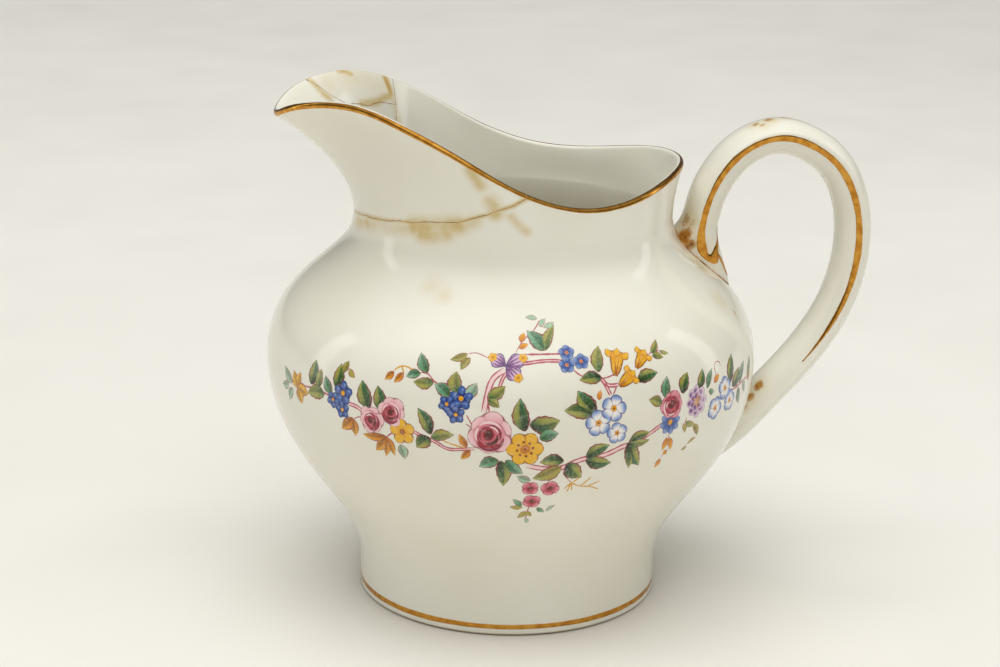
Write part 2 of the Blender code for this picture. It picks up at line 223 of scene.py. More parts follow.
def edge_start(around):
    """Height up the wall where the rounding of the lip begins."""
    return 1 - LIP_THICKNESS / 2 / wall_span(around)


def wall_inside(around, up):
    """Inner face of the wall: the outer face moved inwards along its normal."""
    up = np.broadcast_to(up, around.shape).astype(float)
    share = np.clip(up / edge_start(around), 0, 1)
    depth = WALL_THICKNESS + (LIP_THICKNESS - WALL_THICKNESS) * share
    return wall_point(around, up) - wall_directions(around, up)[0] * depth[:, None]


def over_lip(around, distance, lift=0.0):
    """A point of the lip, distance round its rounded edge from the outside, negative below it."""
    start = edge_start(around)
    distance = np.broadcast_to(distance, around.shape).astype(float)
    lift = np.broadcast_to(lift, around.shape).astype(float)[:, None]
    radius = LIP_THICKNESS / 2
    normal, along = wall_directions(around, start)
    middle = wall_point(around, start) - normal * radius
    turn = np.clip(distance / radius, 0, math.pi)[:, None]
    rounded = middle + (radius + lift) * (np.cos(turn) * normal + np.sin(turn) * along)
    down = start + distance / wall_span(around)
    straight = wall_point(around, np.minimum(down, start))
    straight = straight + lift * wall_directions(around, np.minimum(down, start))[0]
    return np.where((distance < 0)[:, None], straight, rounded)


def break_height(points, around):
    """Height of a break up the wall, a little ragged. Past its ends it stays at their heights."""
    places, heights = zip(*points)
    ragged = sum(size * np.sin(rate * around + start) for size, rate, start in BREAK_WAVES)
    return np.interp(around, places, heights, left=heights[0], right=heights[-1]) + ragged


def break_offset(points, around, distance):
    """The same break moved up the wall, so that it lies distance from where it was."""
    small = 2e-3
    rise = break_height(points, around + small) - break_height(points, around - small)
    run = np.linalg.norm(lip(around + small) - lip(around - small), axis=1)
    span = wall_span(around)
    return break_height(points, around) + distance / span * np.sqrt(1 + (span * rise / run) ** 2)


# ---------------------------------------------------------------- meshes


def add_mesh(name, points, faces, material, stands_for=(), smooth_angle=40):
    """A piece of the jug from points in millimetres about the turning axis."""
    mesh = bpy.data.meshes.new(name)
    placed = (np.asarray(points, float) + (AXIS_X, 0, 0)) * MM
    mesh.from_pydata(placed.tolist(), [], faces)
    shape = bmesh.new()
    shape.from_mesh(mesh)
    bmesh.ops.recalc_face_normals(shape, faces=shape.faces)
    shape.to_mesh(mesh)
    shape.free()
    mesh.shade_smooth()
    mesh.set_sharp_from_angle(angle=math.radians(smooth_angle))
    mesh.materials.append(material)
    piece = bpy.data.objects.new(name, mesh)
    bpy.context.scene.collection.objects.link(piece)
    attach(piece, "root")
    if stands_for:
        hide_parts(*stands_for)
    return piece


def grid_faces(rows, columns, close_rows=False, close_columns=False, first=0):
    """Quads over a grid of points, row by row."""
    faces = []
    for i in range(rows if close_rows else rows - 1):
        a, b = first + i * columns, first + (i + 1) % rows * columns
        for j in range(columns if close_columns else columns - 1):
            k = (j + 1) % columns
            faces.append((a + j, a + k, b + k, b + j))
    return faces


def tube(name, rings, material, stands_for=(), closed=False, smooth_angle=40):
    """A skin over closed rings of equal length, with a fan of faces over each open end."""
    rings = np.asarray(rings, float)
    count, around = rings.shape[:2]
    points = list(rings.reshape(-1, 3))
    faces = grid_faces(count, around, close_rows=closed, close_columns=True)
    if not closed:
        for ring in (0, count - 1):
            points.append(rings[ring].mean(axis=0))
            faces += [(ring * around + j, ring * around + (j + 1) % around, len(points) - 1)
                      for j in range(around)]
    return add_mesh(name, points, faces, material, stands_for, smooth_angle)


def set_marks(piece, marks):
    """Vertex attributes from 0 to 1 round places: {attribute: [(place, radius, strength)]}."""
    points = np.array([v.co for v in piece.data.vertices]) / MM - (AXIS_X, 0, 0)
    for name, places in marks.items():
        value = np.zeros(len(points))
        for place, radius, strength in places:
            away = np.linalg.norm(points - place, axis=1)
            value = np.maximum(value, strength * np.exp(-((away / radius) ** 2)))
        attribute = piece.data.attributes.new(name, "FLOAT", "POINT")
        attribute.data.foreach_set("value", value.astype(np.float32))


# ---------------------------------------------------------------- materials


def linear(red, green, blue):
    """A screen colour from 0 to 255 as the linear colour that a shader takes."""
    share = np.array([red, green, blue]) / 255
    return tuple(np.where(share <= 0.04045, share / 12.92, ((share + 0.055) / 1.055) ** 2.4))


class Nodes:
    """A material's node tree, built one call at a time."""

    def __init__(self, name):
        self.material = bpy.data.materials.new(name)
        self.material.use_nodes = True
        self.tree = self.material.node_tree
        self.shader = self.tree.nodes["Principled BSDF"]
        coordinates = self.tree.nodes.new("ShaderNodeTexCoord")
        self.place = coordinates.outputs["Object"]

    def set(self, **values):
        for name, value in values.items():
            socket = self.shader.inputs[name.replace("_", " ").title().replace("Ior", "IOR")]
            if isinstance(value, bpy.types.NodeSocket):
                self.tree.links.new(value, socket)
            else:
                socket.default_value = value

    def put(self, socket, value):
        if isinstance(value, bpy.types.NodeSocket):
            self.tree.links.new(value, socket)
        elif isinstance(value, tuple):
            socket.default_value = (*value, 1)[: len(socket.default_value)]
        else:
            socket.default_value = value

    def noise(self, size, detail=3, roughness=0.5):
        """Noise from about 0.3 to 0.7 whose features are size millimetres across."""
        node = self.tree.nodes.new("ShaderNodeTexNoise")
        node.inputs["Scale"].default_value = 1 / (size * MM)
        node.inputs["Detail"].default_value = detail
        node.inputs["Roughness"].default_value = roughness
        self.tree.links.new(self.place, node.inputs["Vector"])
        return node.outputs["Fac"]

    def attribute(self, name, colour=False):
        node = self.tree.nodes.new("ShaderNodeAttribute")
        node.attribute_name = name
        return node.outputs["Color" if colour else "Fac"]

    def math(self, operation, a, b=0.0):
        node = self.tree.nodes.new("ShaderNodeMath")
        node.operation = operation
        self.put(node.inputs[0], a)
        self.put(node.inputs[1], b)
        return node.outputs[0]

    def range(self, value, low, high, to_low=0.0, to_high=1.0):
        node = self.tree.nodes.new("ShaderNodeMapRange")
        for place, number in enumerate((value, low, high, to_low, to_high)):
            self.put(node.inputs[place], number)
        return node.outputs[0]

    def mix(self, share, a, b):
        node = self.tree.nodes.new("ShaderNodeMix")
        node.data_type = "RGBA"
        self.put(node.inputs["Factor"], share)
        self.put(node.inputs[6], a)
        self.put(node.inputs[7], b)
        return node.outputs[2]

    def height(self):
        node = self.tree.nodes.new("ShaderNodeSeparateXYZ")
        self.tree.links.new(self.place, node.inputs[0])
        return node.outputs["Z"]

    def bump(self, height, distance, strength=1.0):
        node = self.tree.nodes.new("ShaderNodeBump")
        node.inputs["Strength"].default_value = strength
        node.inputs["Distance"].default_value = distance * MM
        self.tree.links.new(height, node.inputs["Height"])
        self.tree.links.new(node.outputs[0], self.shader.inputs["Normal"])


CHINA = linear(236, 234, 221)
CHINA_SHADE = linear(231, 228, 212)
OCHRE, RUST = linear(200, 172, 86), linear(180, 130, 48)
BROWN_GLUE, DARK_GLUE = linear(164, 104, 24), linear(76, 36, 12)
FOOT_EDGE_BROWN = linear(150, 128, 98)
FOOT_EDGE_FULL_BELOW, FOOT_EDGE_GONE_ABOVE = 0.25, 0.6  # heights on the foot ring: a darker brown, matte band at its very bottom is full below the first and gone above the second


def porcelain_material():
    """Creamy glazed china with ochre seepage from the breaks and smears of glue."""
    nodes = Nodes("glazed_china")
    china = nodes.mix(nodes.range(nodes.noise(26, 2), 0.35, 0.65), CHINA, CHINA_SHADE)
    cloud = nodes.range(nodes.noise(4.5, 3, 0.55), 0.3, 0.62, 0.5, 1.25)
    seeped = nodes.math("MULTIPLY", nodes.attribute("stain"), cloud)
    china = nodes.mix(nodes.range(seeped, 0.05, 0.95, 0.0, 0.72), china, OCHRE)
    china = nodes.mix(nodes.range(seeped, 1.05, 1.6, 0.0, 0.7), china, RUST)
    specks = nodes.math("ADD", nodes.attribute("glue"), nodes.noise(1.1, 5, 0.65))
    glued = nodes.range(specks, 1.0, 1.35)
    glue = nodes.mix(nodes.range(nodes.noise(0.9, 4), 0.42, 0.58), RUST, BROWN_GLUE)
    china = nodes.mix(glued, china, glue)
    pits = nodes.math("MULTIPLY", nodes.range(specks, 1.45, 1.65),
                      nodes.range(nodes.noise(0.5, 3), 0.5, 0.56))
    china = nodes.mix(pits, china, DARK_GLUE)
    # Darker brown and matte round the very bottom of the foot ring, where it stands on the table.
    foot_edge = nodes.range(nodes.height(), FOOT_EDGE_FULL_BELOW * MM, FOOT_EDGE_GONE_ABOVE * MM, 1.0, 0.0)
    china = nodes.mix(foot_edge, china, FOOT_EDGE_BROWN)
    gloss = nodes.range(nodes.noise(9, 3), 0.3, 0.7, 0.07, 0.13)
    gloss = nodes.math("MAXIMUM", gloss, nodes.math("MULTIPLY", glued, 0.35))
    gloss = nodes.math("MAXIMUM", gloss, nodes.math("MULTIPLY", foot_edge, 0.8))
    nodes.set(base_color=china, roughness=gloss, IOR=1.54, subsurface_weight=0.12)
    nodes.shader.inputs["Subsurface Radius"].default_value = (1.0, 0.85, 0.6)
    nodes.shader.inputs["Subsurface Scale"].default_value = 0.0015
    nodes.bump(nodes.noise(5, 2), 0.03, 0.35)
    return nodes.material


def gold_material():
    """Burnished gilding, rubbed and a little uneven."""
    nodes = Nodes("burnished_gilding")
    gold = nodes.mix(nodes.range(nodes.noise(1.2, 4), 0.4, 0.65),
                     linear(206, 152, 66), linear(178, 118, 42))
    rough = nodes.range(nodes.noise(0.6, 5, 0.6), 0.3, 0.7, 0.10, 0.20)
    nodes.set(base_color=gold, metallic=1.0, roughness=rough)
    nodes.bump(nodes.noise(0.7, 3), 0.006, 0.4)
    return nodes.material


def glue_material():
    """Old brown adhesive: amber where thin, nearly black in its pits."""
    nodes = Nodes("aged_adhesive")
    amber = nodes.mix(nodes.range(nodes.noise(1.4, 5, 0.6), 0.4, 0.62),
                      linear(206, 142, 60), linear(128, 70, 20))
    amber = nodes.mix(nodes.range(nodes.noise(0.5, 4, 0.6), 0.56, 0.64), amber, DARK_GLUE)
    nodes.set(base_color=amber, roughness=nodes.range(nodes.noise(0.8, 3), 0.3, 0.7, 0.25, 0.5))
    nodes.bump(nodes.noise(0.6, 5), 0.12, 0.8)
    return nodes.material


def enamel_material():
    """Glossy overglaze enamel in the colours laid on point by point."""
    nodes = Nodes("painted_enamel")
    paint = nodes.attribute("paint", colour=True)
    thin = nodes.range(nodes.noise(0.5, 4, 0.6), 0.5, 0.75, 0.0, 0.25)
    nodes.set(base_color=nodes.mix(thin, paint, CHINA),
              roughness=nodes.range(nodes.noise(0.7, 2), 0.3, 0.7, 0.12, 0.22), IOR=1.52)
    return nodes.material


def table_material():
    nodes = Nodes("pale_table")
    pale = nodes.mix(nodes.range(nodes.noise(160, 3), 0.35, 0.65),
                     linear(240, 238, 231), linear(237, 234, 226))
    nodes.set(base_color=pale, roughness=nodes.range(nodes.noise(30, 2), 0.3, 0.7, 0.55, 0.7))
    return nodes.material


# ---------------------------------------------------------------- porcelain


def places_round(start, end, count, extra=()):
    """Places along the lip with further ones added, none of them nearly the same."""
    even = np.linspace(start, end, count)
    extra = np.array([place for place in extra if start < place < end])
    apart = [place for place in even
             if not len(extra) or min(abs(place - extra)) > 0.0004 or place in (start, end)]
    return np.sort(np.concatenate([apart, extra]))


def crossing(low, high, stretch):
    """Where the functions low and high meet within a stretch of the lip."""
    places = np.linspace(*stretch, 4001)
    gap = high(places) - low(places)
    return places[np.argmin(abs(gap))]


def body_top(around):
    """Height of the body's wall at the spout fragment's break. The next four are alike."""
    return break_offset(SPOUT_BREAK, around, -HAIRLINE)


def shard_bottom(around):
    return break_offset(SPOUT_BREAK, around, HAIRLINE)


def shard_top(around):
    return break_offset(CHIP_BREAK, around, -HAIRLINE)


def chip_bottom(around):
    return np.maximum(shard_bottom(around), break_offset(CHIP_BREAK, around, HAIRLINE))


def chip_glue_bottom(around):
    return break_offset(CHIP_BREAK, around, -GLUE_FILM)


def wall_rings(around, bottom, top, at_lip, rows):
    """Closed section of the wall at each place: up the outside, over the edge, down the inside."""
    end = np.where(at_lip, edge_start(around), top)
    share = np.linspace(0, 1, rows + 1)
    outer = [wall_point(around, bottom + (end - bottom) * s) for s in share]
    inner = [wall_inside(around, bottom + (end - bottom) * s) for s in share[::-1]]
    across = []
    for s in np.linspace(0, 1, EDGE_ROWS + 2)[1:-1]:
        rounded = over_lip(around, s * math.pi * LIP_THICKNESS / 2)
        cut = outer[-1] + (inner[0] - outer[-1]) * s
        across.append(np.where(at_lip[:, None], rounded, cut))
    return np.stack(outer + across + inner, axis=1)


def build_body(china, marks):
    """The body: under the foot, up the outside, over the lip, down the inside and over its floor."""
    far = crossing(body_top, edge_start, FAR_END)
    near = crossing(body_top, edge_start, NEAR_END)
    ends = [far, far + BREAK_STEP, near - BREAK_STEP, near]
    around = places_round(0, 1, COLUMNS + 1, ends)[:-1]
    at_lip = (around <= far) | (around >= near)
    above = wall_rings(around, np.zeros(len(around)), body_top(around), at_lip, WALL_ROWS)
    angle = np.arctan2(*lip(around)[:, 1::-1].T)

    def ring(radius, z):
        flat = np.full(len(angle), z)
        return np.stack([radius * np.cos(angle), radius * np.sin(angle), flat], axis=1)

    inner_corner = [(FOOT_FLAT_INSIDE - 0.3, 0.03), (FOOT_FLAT_INSIDE, 0.0)]
    outer_corner = [(FOOT_RADIUS - FOOT_ROUNDING + FOOT_ROUNDING * math.sin(t),
                     FOOT_ROUNDING * (1 - math.cos(t))) for t in np.radians(np.linspace(0, 90, 6))[:-1]]
    rows = [ring(r, z) for r, z in FOOT_RING_INSIDE[1:] + inner_corner + outer_corner]
    rows += [wall_point(around, up) for up in np.linspace(-1, 0, BELLY_ROWS, endpoint=False)]
    rows += list(above.transpose(1, 0, 2))
    heights = PROFILE_CURVE.at(np.linspace(0, 1, 800))[:, 1]
    lowest = np.interp(INNER_WALL_BOTTOM_Z, heights, np.linspace(-1, 0, 800))
    rows += [wall_inside(around, up) for up in np.linspace(0, lowest, INSIDE_ROWS + 1)[1:]]
    foot_of_wall = rows[-1][0]
    floor = Curve([(np.hypot(*foot_of_wall[:2]), foot_of_wall[2])] + INNER_FLOOR)
    rows += [ring(r, z) for r, z in floor.at(np.linspace(0, 1, FLOOR_ROWS + 1))[1:-1]]
    points = np.vstack([*rows, [(0, 0, FOOT_RING_INSIDE[0][1]), (0, 0, INNER_FLOOR[-1][1])]])
    count = len(around)
    faces = grid_faces(len(rows), count, close_columns=True)
    under, floor_middle = len(points) - 2, len(points) - 1
    last = (len(rows) - 1) * count
    for j in range(count):
        k = (j + 1) % count
        faces += [(under, k, j), (floor_middle, last + j, last + k)]
    body = add_mesh("body_porcelain", points, faces, china, ["body"])
    set_marks(body, marks)
    return body


def build_fragments(china, marks):
    """The spout fragment and the chip of its lip."""
    start = crossing(shard_bottom, shard_top, BREAKS_MEET)
    corner = crossing(shard_top, edge_start, CHIP_CORNER)
    end = crossing(shard_bottom, edge_start, NEAR_END)
    around = places_round(start, end, SHARD_COLUMNS, [corner, corner + BREAK_STEP])
    rings = wall_rings(around, shard_bottom(around), shard_top(around), around > corner, WALL_ROWS)
    shard = tube("spout_shard_porcelain", rings, china, ["spout_shard"])
    set_marks(shard, marks)
    start = crossing(chip_bottom, edge_start, BREAKS_MEET)
    end = crossing(chip_bottom, edge_start, CHIP_CORNER)
    around = places_round(start, end, CHIP_COLUMNS)
    bottom = chip_bottom(around)
    rings = wall_rings(around, bottom, bottom, np.full(len(around), True), CHIP_ROWS)
    chip = tube("lip_chip_porcelain", rings, china, ["lip_chip"])
    set_marks(chip, marks)


def body_radius(z):
    """Outer radius of the body at a height, on the handle's side where it is above the neck."""
    table = PROFILE_CURVE.at(np.linspace(0, 1, 800))
    radius = np.interp(z, table[:, 1], table[:, 0])
    back = wall_point(np.zeros(40), np.linspace(0, 1, 40))
    flared = np.interp(z, back[:, 2], back[:, 0])
    return np.where(z > NECK_Z, flared, radius)


CROWN_POINTS, UNDER_POINTS = 25, 41
EDGE_ROUNDING = [(0.968, 0.11), (0.991, -0.12), (0.991, -0.38)]  # across, and depth from the shoulder


def handle_outline():
    """The handle's section: a crowned outer face, rounded edges, a tapering inner side."""
    half, shoulder = HANDLE_WIDTH / 2, HANDLE_DEPTH / 2 - HANDLE_CROWN
    inner = -HANDLE_DEPTH / 2
    across = np.linspace(-0.93, 0.93, CROWN_POINTS)
    crown = [(half * a, HANDLE_DEPTH / 2 - HANDLE_CROWN * abs(a) ** 2.3) for a in across]
    edge = [(half * a, shoulder + d) for a, d in EDGE_ROUNDING]
    side = [(half * 0.9, -0.75), (half * 0.68, inner + 0.85), (half * 0.36, inner + 0.05)]
    under = Curve(crown[-1:] + edge + side + [(-y, d) for y, d in (edge + side)[::-1]] + crown[:1])
    around = under.at(np.linspace(0, 1, UNDER_POINTS + 2))[1:-1]
    return np.vstack([crown, around])


OUTLINE = handle_outline()


def handle_frame(where):
    """Middle of the handle's section, its outward direction and how much deeper it is there."""
    middle, outward = beside_line(HANDLE_CURVE, where)
    spread = (1 + (UPPER_SPREAD - 1) * np.maximum(0, 1 - where / UPPER_ROOT) ** 2
              + (LOWER_SPREAD - 1) * np.maximum(0, 1 - (1 - where) / LOWER_ROOT) ** 2)
    return middle, outward, spread


def root_flare(where, depth):
    """How much further the inner side of the upper root runs out along the shoulder."""
    inner = np.clip(-2 * depth / HANDLE_DEPTH, 0, 1) ** 0.8
    return FLARE_REACH * inner * np.clip((FLARE_END - where) / FLARE_LENGTH, 0, 1) ** 1.7


def on_handle(where, across, depth):
    """A point of the handle's section, across the jug and out from its middle."""
    where = np.atleast_1d(np.asarray(where, float))
    middle, outward, spread = handle_frame(where)
    flat = middle + (depth * spread - root_flare(where, depth))[:, None] * outward
    return np.stack([flat[:, 0], np.broadcast_to(across, flat[:, 0].shape), flat[:, 1]], axis=1)


def handle_rings(where):
    """The handle's section at shares of its length."""
    return np.stack([on_handle(where, y, np.full(len(where), d)) for y, d in OUTLINE], axis=1)


def build_handle(china, marks):
    """The handle. Its ends follow the body's wall, a little way in from the glaze."""
    where = np.linspace(0, 1, HANDLE_RINGS)
    rings = handle_rings(where)
    reach = np.hypot(rings[..., 0], rings[..., 1])
    least = body_radius(rings[..., 2]) - ROOT_DEPTH
    scale = np.maximum(1, least / np.maximum(reach, 1e-6))
    rings[..., :2] *= scale[..., None]
    inside = scale.min(axis=1) > 1.0001
    first = np.argmin(inside) - 1
    last = len(where) - np.argmin(inside[::-1])
    handle = tube("handle_porcelain", rings[first : last + 1], china, ["handle"])
    set_marks(handle, marks)


# ---------------------------------------------------------------- adhesive

BEAD_THIN, BEAD_THICK, BEAD_FLATNESS = 0.08, 0.34, 0.6
BEAD_SWELLS = (0.55, 1.6)  # how often it swells, per millimetre

def root_seam(upper):
    """The line where the handle meets the body, point by point round the handle's section."""
    where = np.linspace(0, 0.22, SEAM_RINGS) if upper else np.linspace(1, 0.8, SEAM_RINGS)
    rings = handle_rings(where)
    outside = np.hypot(rings[..., 0], rings[..., 1]) - body_radius(rings[..., 2])
    last_in = len(where) - 1 - np.argmax((outside < 0)[::-1], axis=0)
    last_in = np.minimum(last_in, len(where) - 2)
    return rings[last_in, np.arange(rings.shape[1])]


def glue_bead(name, seam, glue, stands_for):
    """An uneven bead of glue laid along a closed line."""
    line = Curve(seam, closed=True)
    where = np.arange(BEAD_RINGS) / BEAD_RINGS
    middle = line.at(where)
    ahead = line.at(np.mod(where + 0.004, 1)) - line.at(np.mod(where - 0.004, 1))
    ahead /= np.linalg.norm(ahead, axis=1)[:, None]
    out = middle * (1, 1, 0)
    out /= np.linalg.norm(out, axis=1)[:, None]
    side = np.cross(ahead, out)
    side /= np.linalg.norm(side, axis=1)[:, None]
    out = np.cross(side, ahead)
    rings = []
    for i, centre in enumerate(middle):
        swell = sum(noise.noise(Vector(centre) * often) * 0.5 for often in BEAD_SWELLS)
        radius = BEAD_THIN + (BEAD_THICK - BEAD_THIN) * min(1, max(0, 0.5 + 0.9 * swell))
        turn = np.radians(np.arange(0, 360, 30))[:, None]
        rings.append(centre + radius * (np.cos(turn) * out[i] * BEAD_FLATNESS + np.sin(turn) * side[i]))
    return tube(name, rings, glue, stands_for, closed=True)


def build_glue(glue):
    """Films of glue in the breaks, flush with the glaze, and beads round the handle's roots."""
    ends = crossing(body_top, edge_start, FAR_END), crossing(body_top, edge_start, NEAR_END)
    around = places_round(*ends, 200)
    low, high = (break_offset(SPOUT_BREAK, around, film) for film in (-GLUE_FILM, GLUE_FILM))
    rings = wall_rings(around, low, high, np.full(len(around), False), 1)
    tube("spout_glue", rings, glue, ["spout_adhesive"])
    start = crossing(shard_bottom, chip_glue_bottom, BREAKS_MEET)
    end = crossing(chip_glue_bottom, edge_start, CHIP_CORNER)
    around = places_round(start, end, CHIP_COLUMNS)
    low, high = (break_offset(CHIP_BREAK, around, film) for film in (-GLUE_FILM, GLUE_FILM))
    rings = wall_rings(around, low, high, np.full(len(around), False), 1)
    tube("lip_chip_glue", rings, glue, ["lip_chip_adhesive"])
    glue_bead("handle_upper_glue", root_seam(True), glue, ["handle_upper_adhesive"])
    glue_bead("handle_lower_glue", root_seam(False), glue, ["handle_lower_adhesive"])


# ---------------------------------------------------------------- gilding

GOLD_THICKNESS, HANDLE_GOLD_THICKNESS = 0.04, 0.09
RIM_GOLD = (0.02, 1.22)  # its edges, round the lip from where the rounding starts outside
FOOT_GOLD = (1.3, 2.2)  # its edges above the table
GOLD_STEP = 0.3  # between the rings of a line on the handle
GOLD_GAP = 0.00015  # along the lip, on either side of a break
LINE_HALF_WIDTH, LINE_FADES = 0.58, (0.05, 0.22)  # of the handle's line, and its worn ends
ROOT_HALF_WIDTH, ROOT_FADES = 0.36, (0.3, 0.2)


def waver(place, seed, size=1.0):
    """The unsteadiness of a hand-drawn line, about -1 to 1."""
    return sum(math.sin(place * size * step + seed * step) / (i + 1)
               for i, step in enumerate((1.0, 2.7, 6.1, 13.3))) / 1.6


def gold_height(share):
    """How far gold stands above the glaze, by the share of its width from one edge."""
    return GOLD_THICKNESS * (0.2 + 0.8 * math.sin(math.pi * share) ** 0.4)


def rim_gold(name, start, end, count, gold, stands_for):
    """Gilding over the lip: further down the outside than the inside."""
    around = places_round(start, end, count)
    low = np.array([RIM_GOLD[0] + 0.05 * waver(t * 40, 1) for t in around])
    high = np.array([RIM_GOLD[1] + 0.06 * waver(t * 33, 4) for t in around])
    shares = np.linspace(0, 1, 12)
    over = [over_lip(around, low + (high - low) * s, gold_height(s)) for s in shares]
    under = [over_lip(around, low + (high - low) * s, -SKIN_DEPTH) for s in shares[::-1]]
    return tube(name, np.stack(over + under, axis=1), gold, [stands_for])


def build_rim_gold(gold):
    near = crossing(body_top, edge_start, NEAR_END)
    far = crossing(body_top, edge_start, FAR_END)
    for part, start, end, count in (
            ("body", near + GOLD_GAP, 1 + far - GOLD_GAP, 240),
            ("chip", far + 1.5 * GOLD_GAP, CHIP_END - GOLD_GAP, 50),
            ("spout", CHIP_END + GOLD_GAP, near - 1.5 * GOLD_GAP, 150)):
        rim_gold(f"rim_gilding_{part}_fired", start, end, count, gold, f"rim_gilding_{part}")


def build_foot_gold(gold):
    """The band just above the foot, brushed on a turntable."""
    heights = PROFILE_CURVE.at(np.linspace(0, 0.2, 200))
    rings = []
    for angle in np.radians(np.arange(0, 360, 1.5)):
        low = FOOT_GOLD[0] + 0.05 * waver(angle * 4, 2)
        high = FOOT_GOLD[1] + 0.05 * waver(angle * 4, 5)
        section = [(low + (high - low) * s, gold_height(s)) for s in np.linspace(0, 1, 7)]
        section += [(z, -SKIN_DEPTH) for z, lift in section[::-1]]
        radii = [np.interp(z, heights[:, 1], heights[:, 0]) + lift for z, lift in section]
        rings.append([(radius * math.cos(angle), radius * math.sin(angle), z)
                      for radius, (z, lift) in zip(radii, section)])
    tube("foot_gilding_fired", rings, gold, ["foot_gilding"], closed=True)


# The gold lines of the handle: place along it, and distance in mm down the side face from its edge.
HANDLE_LINE = [
    (0.123, 4.9), (0.107, 4.5), (0.093, 3.2), (0.084, 2.5), (0.083, 1.7), (0.091, 1.2), (0.107, 0.6),
    (0.136, 0.1), (0.169, 0.1), (0.199, 0.0), (0.25, 0.0), (0.301, 0.1), (0.352, 0.35), (0.395, 0.5),
    (0.443, 0.55), (0.5, 0.5), (0.566, 0.5), (0.617, 0.6), (0.655, 0.7), (0.70, 0.75), (0.735, 0.8),
]
ROOT_LINE = [(0.093, 3.3), (0.086, 4.2), (0.080, 4.7), (0.075, 5.1)]
HANDLE_LENGTH = 130.0  # so that both coordinates of a line are in millimetres


def side_path():
    """Half of the handle's section from its crown, with the distance from its edge and its normals."""
    corner = CROWN_POINTS + 2
    half = OUTLINE[CROWN_POINTS // 2 : CROWN_POINTS + UNDER_POINTS // 2 + 1]
    distance = np.concatenate([[0], np.cumsum(np.linalg.norm(np.diff(half, axis=0), axis=1))])
    ahead = np.gradient(half, axis=0)
    normal = np.stack([-ahead[:, 1], ahead[:, 0]], axis=1)
    normal /= np.linalg.norm(normal, axis=1)[:, None]
    return distance - distance[corner - CROWN_POINTS // 2], half, normal


def handle_gold_line(name, points, half_width, fades, gold, stands_for=()):
    """A gold line on one side of the handle, which fades over a share of it at each end."""
    side = -1 if "near" in name else 1
    line = Curve(np.array(points) * (HANDLE_LENGTH, 1))
    where = np.linspace(0, 1, int(line.length_at[-1] / GOLD_STEP))
    middle, beside = beside_line(line, where)
    width = half_width * np.clip(where / fades[0], 0.08, 1) ** 0.6
    width *= np.clip((1 - where) / fades[1], 0.06, 1) ** 0.6
    width *= [1 + 0.1 * waver(w * line.length_at[-1] * 0.45, 3) for w in where]
    distance, half, normal = side_path()
    over, under = [], []
    for s in np.linspace(-1, 1, 9):
        spot = middle + beside * (width * s)[:, None]
        y, d, out_y, out_d = (np.interp(spot[:, 1], distance, values)
                              for values in (*half.T, *normal.T))
        lift = HANDLE_GOLD_THICKNESS * (0.15 + 0.85 * math.sqrt(max(0, 1 - s * s)))
        along = spot[:, 0] / HANDLE_LENGTH
        over.append(on_handle(along, (y + lift * out_y) * side, d + lift * out_d))
        sunk_y, sunk_d = y - HANDLE_SKIN_DEPTH * out_y, d - HANDLE_SKIN_DEPTH * out_d
        under.append(on_handle(along, sunk_y * side, sunk_d))
    tube(name, np.stack(over + under[::-1], axis=1), gold, stands_for, smooth_angle=70)


def build_handle_gold(gold):
    for side in ("near", "far"):
        handle_gold_line(f"handle_gilding_{side}_fired", HANDLE_LINE, LINE_HALF_WIDTH, LINE_FADES, gold,
                         [f"handle_gilding_{side}"])
        handle_gold_line(f"root_gilding_{side}_fired", ROOT_LINE, ROOT_HALF_WIDTH, ROOT_FADES, gold)


# ---------------------------------------------------------------- enamel

ARC_STEPS = PROFILE_CURVE.at(np.linspace(0, 1, 1500))
ARC = np.concatenate([[0], np.cumsum(np.linalg.norm(np.diff(ARC_STEPS, axis=0), axis=1))])
ARC_SLOPE = np.gradient(ARC_STEPS, axis=0)
ARC_SLOPE /= np.linalg.norm(ARC_SLOPE, axis=1)[:, None]


def on_belly(angle, arc, lift):
    """A point of the belly from its direction and the distance up its profile."""
    radius = np.interp(arc, ARC, ARC_STEPS[:, 0]) + lift * np.interp(arc, ARC, ARC_SLOPE[:, 1])
    z = np.interp(arc, ARC, ARC_STEPS[:, 1]) - lift * np.interp(arc, ARC, ARC_SLOPE[:, 0])
    return np.stack([radius * np.cos(angle), radius * np.sin(angle), z], axis=-1)


WHITE = linear(236, 232, 226)
CRIMSON, SOFT_CRIMSON = linear(138, 40, 60), linear(180, 84, 96)
PALE_PINK, PINK, ROSE = linear(240, 206, 206), linear(226, 158, 168), linear(200, 84, 104)
RED, MAROON = linear(156, 26, 38), linear(80, 12, 12)
YELLOW, ORANGE = linear(232, 176, 28), linear(214, 138, 10)
AMBER, BROWN = linear(184, 104, 6), linear(116, 50, 24)
SKY, BLUE, NAVY = linear(146, 170, 212), linear(60, 92, 160), linear(24, 44, 108)
LILAC, PURPLE, VIOLET = linear(206, 174, 202), linear(132, 80, 134), linear(78, 50, 104)
BLUE_VIOLET = linear(76, 66, 130)
DARK_LEAF, GREEN = linear(40, 48, 20), linear(72, 122, 62)
TEAL, PALE_TEAL = linear(92, 150, 110), linear(152, 190, 160)
LIME, OLIVE, PALE = linear(156, 164, 82), linear(166, 156, 66), linear(172, 190, 160)

# Colours of a leaf at its base, middle and tip.
LEAF_TONES = {
    "dark": (DARK_LEAF, GREEN, TEAL),
    "teal": (GREEN, TEAL, PALE_TEAL),
    "lime": (DARK_LEAF, GREEN, LIME),
    "fresh": (GREEN, LIME, LIME),
    "olive": (OLIVE, OLIVE, LIME),
    "pale": (PALE, PALE_TEAL, PALE),
    "orange": (AMBER, ORANGE, YELLOW),
    "yellow": (ORANGE, YELLOW, YELLOW),
}


def blend_colours(share, *colours):
    """Colours along a list of them, for an array of shares from 0 to 1."""
    share = np.clip(share, 0, 1) * (len(colours) - 1)
    table = np.array(colours)
    return np.stack([np.interp(share, range(len(colours)), table[:, i]) for i in range(3)], axis=-1)


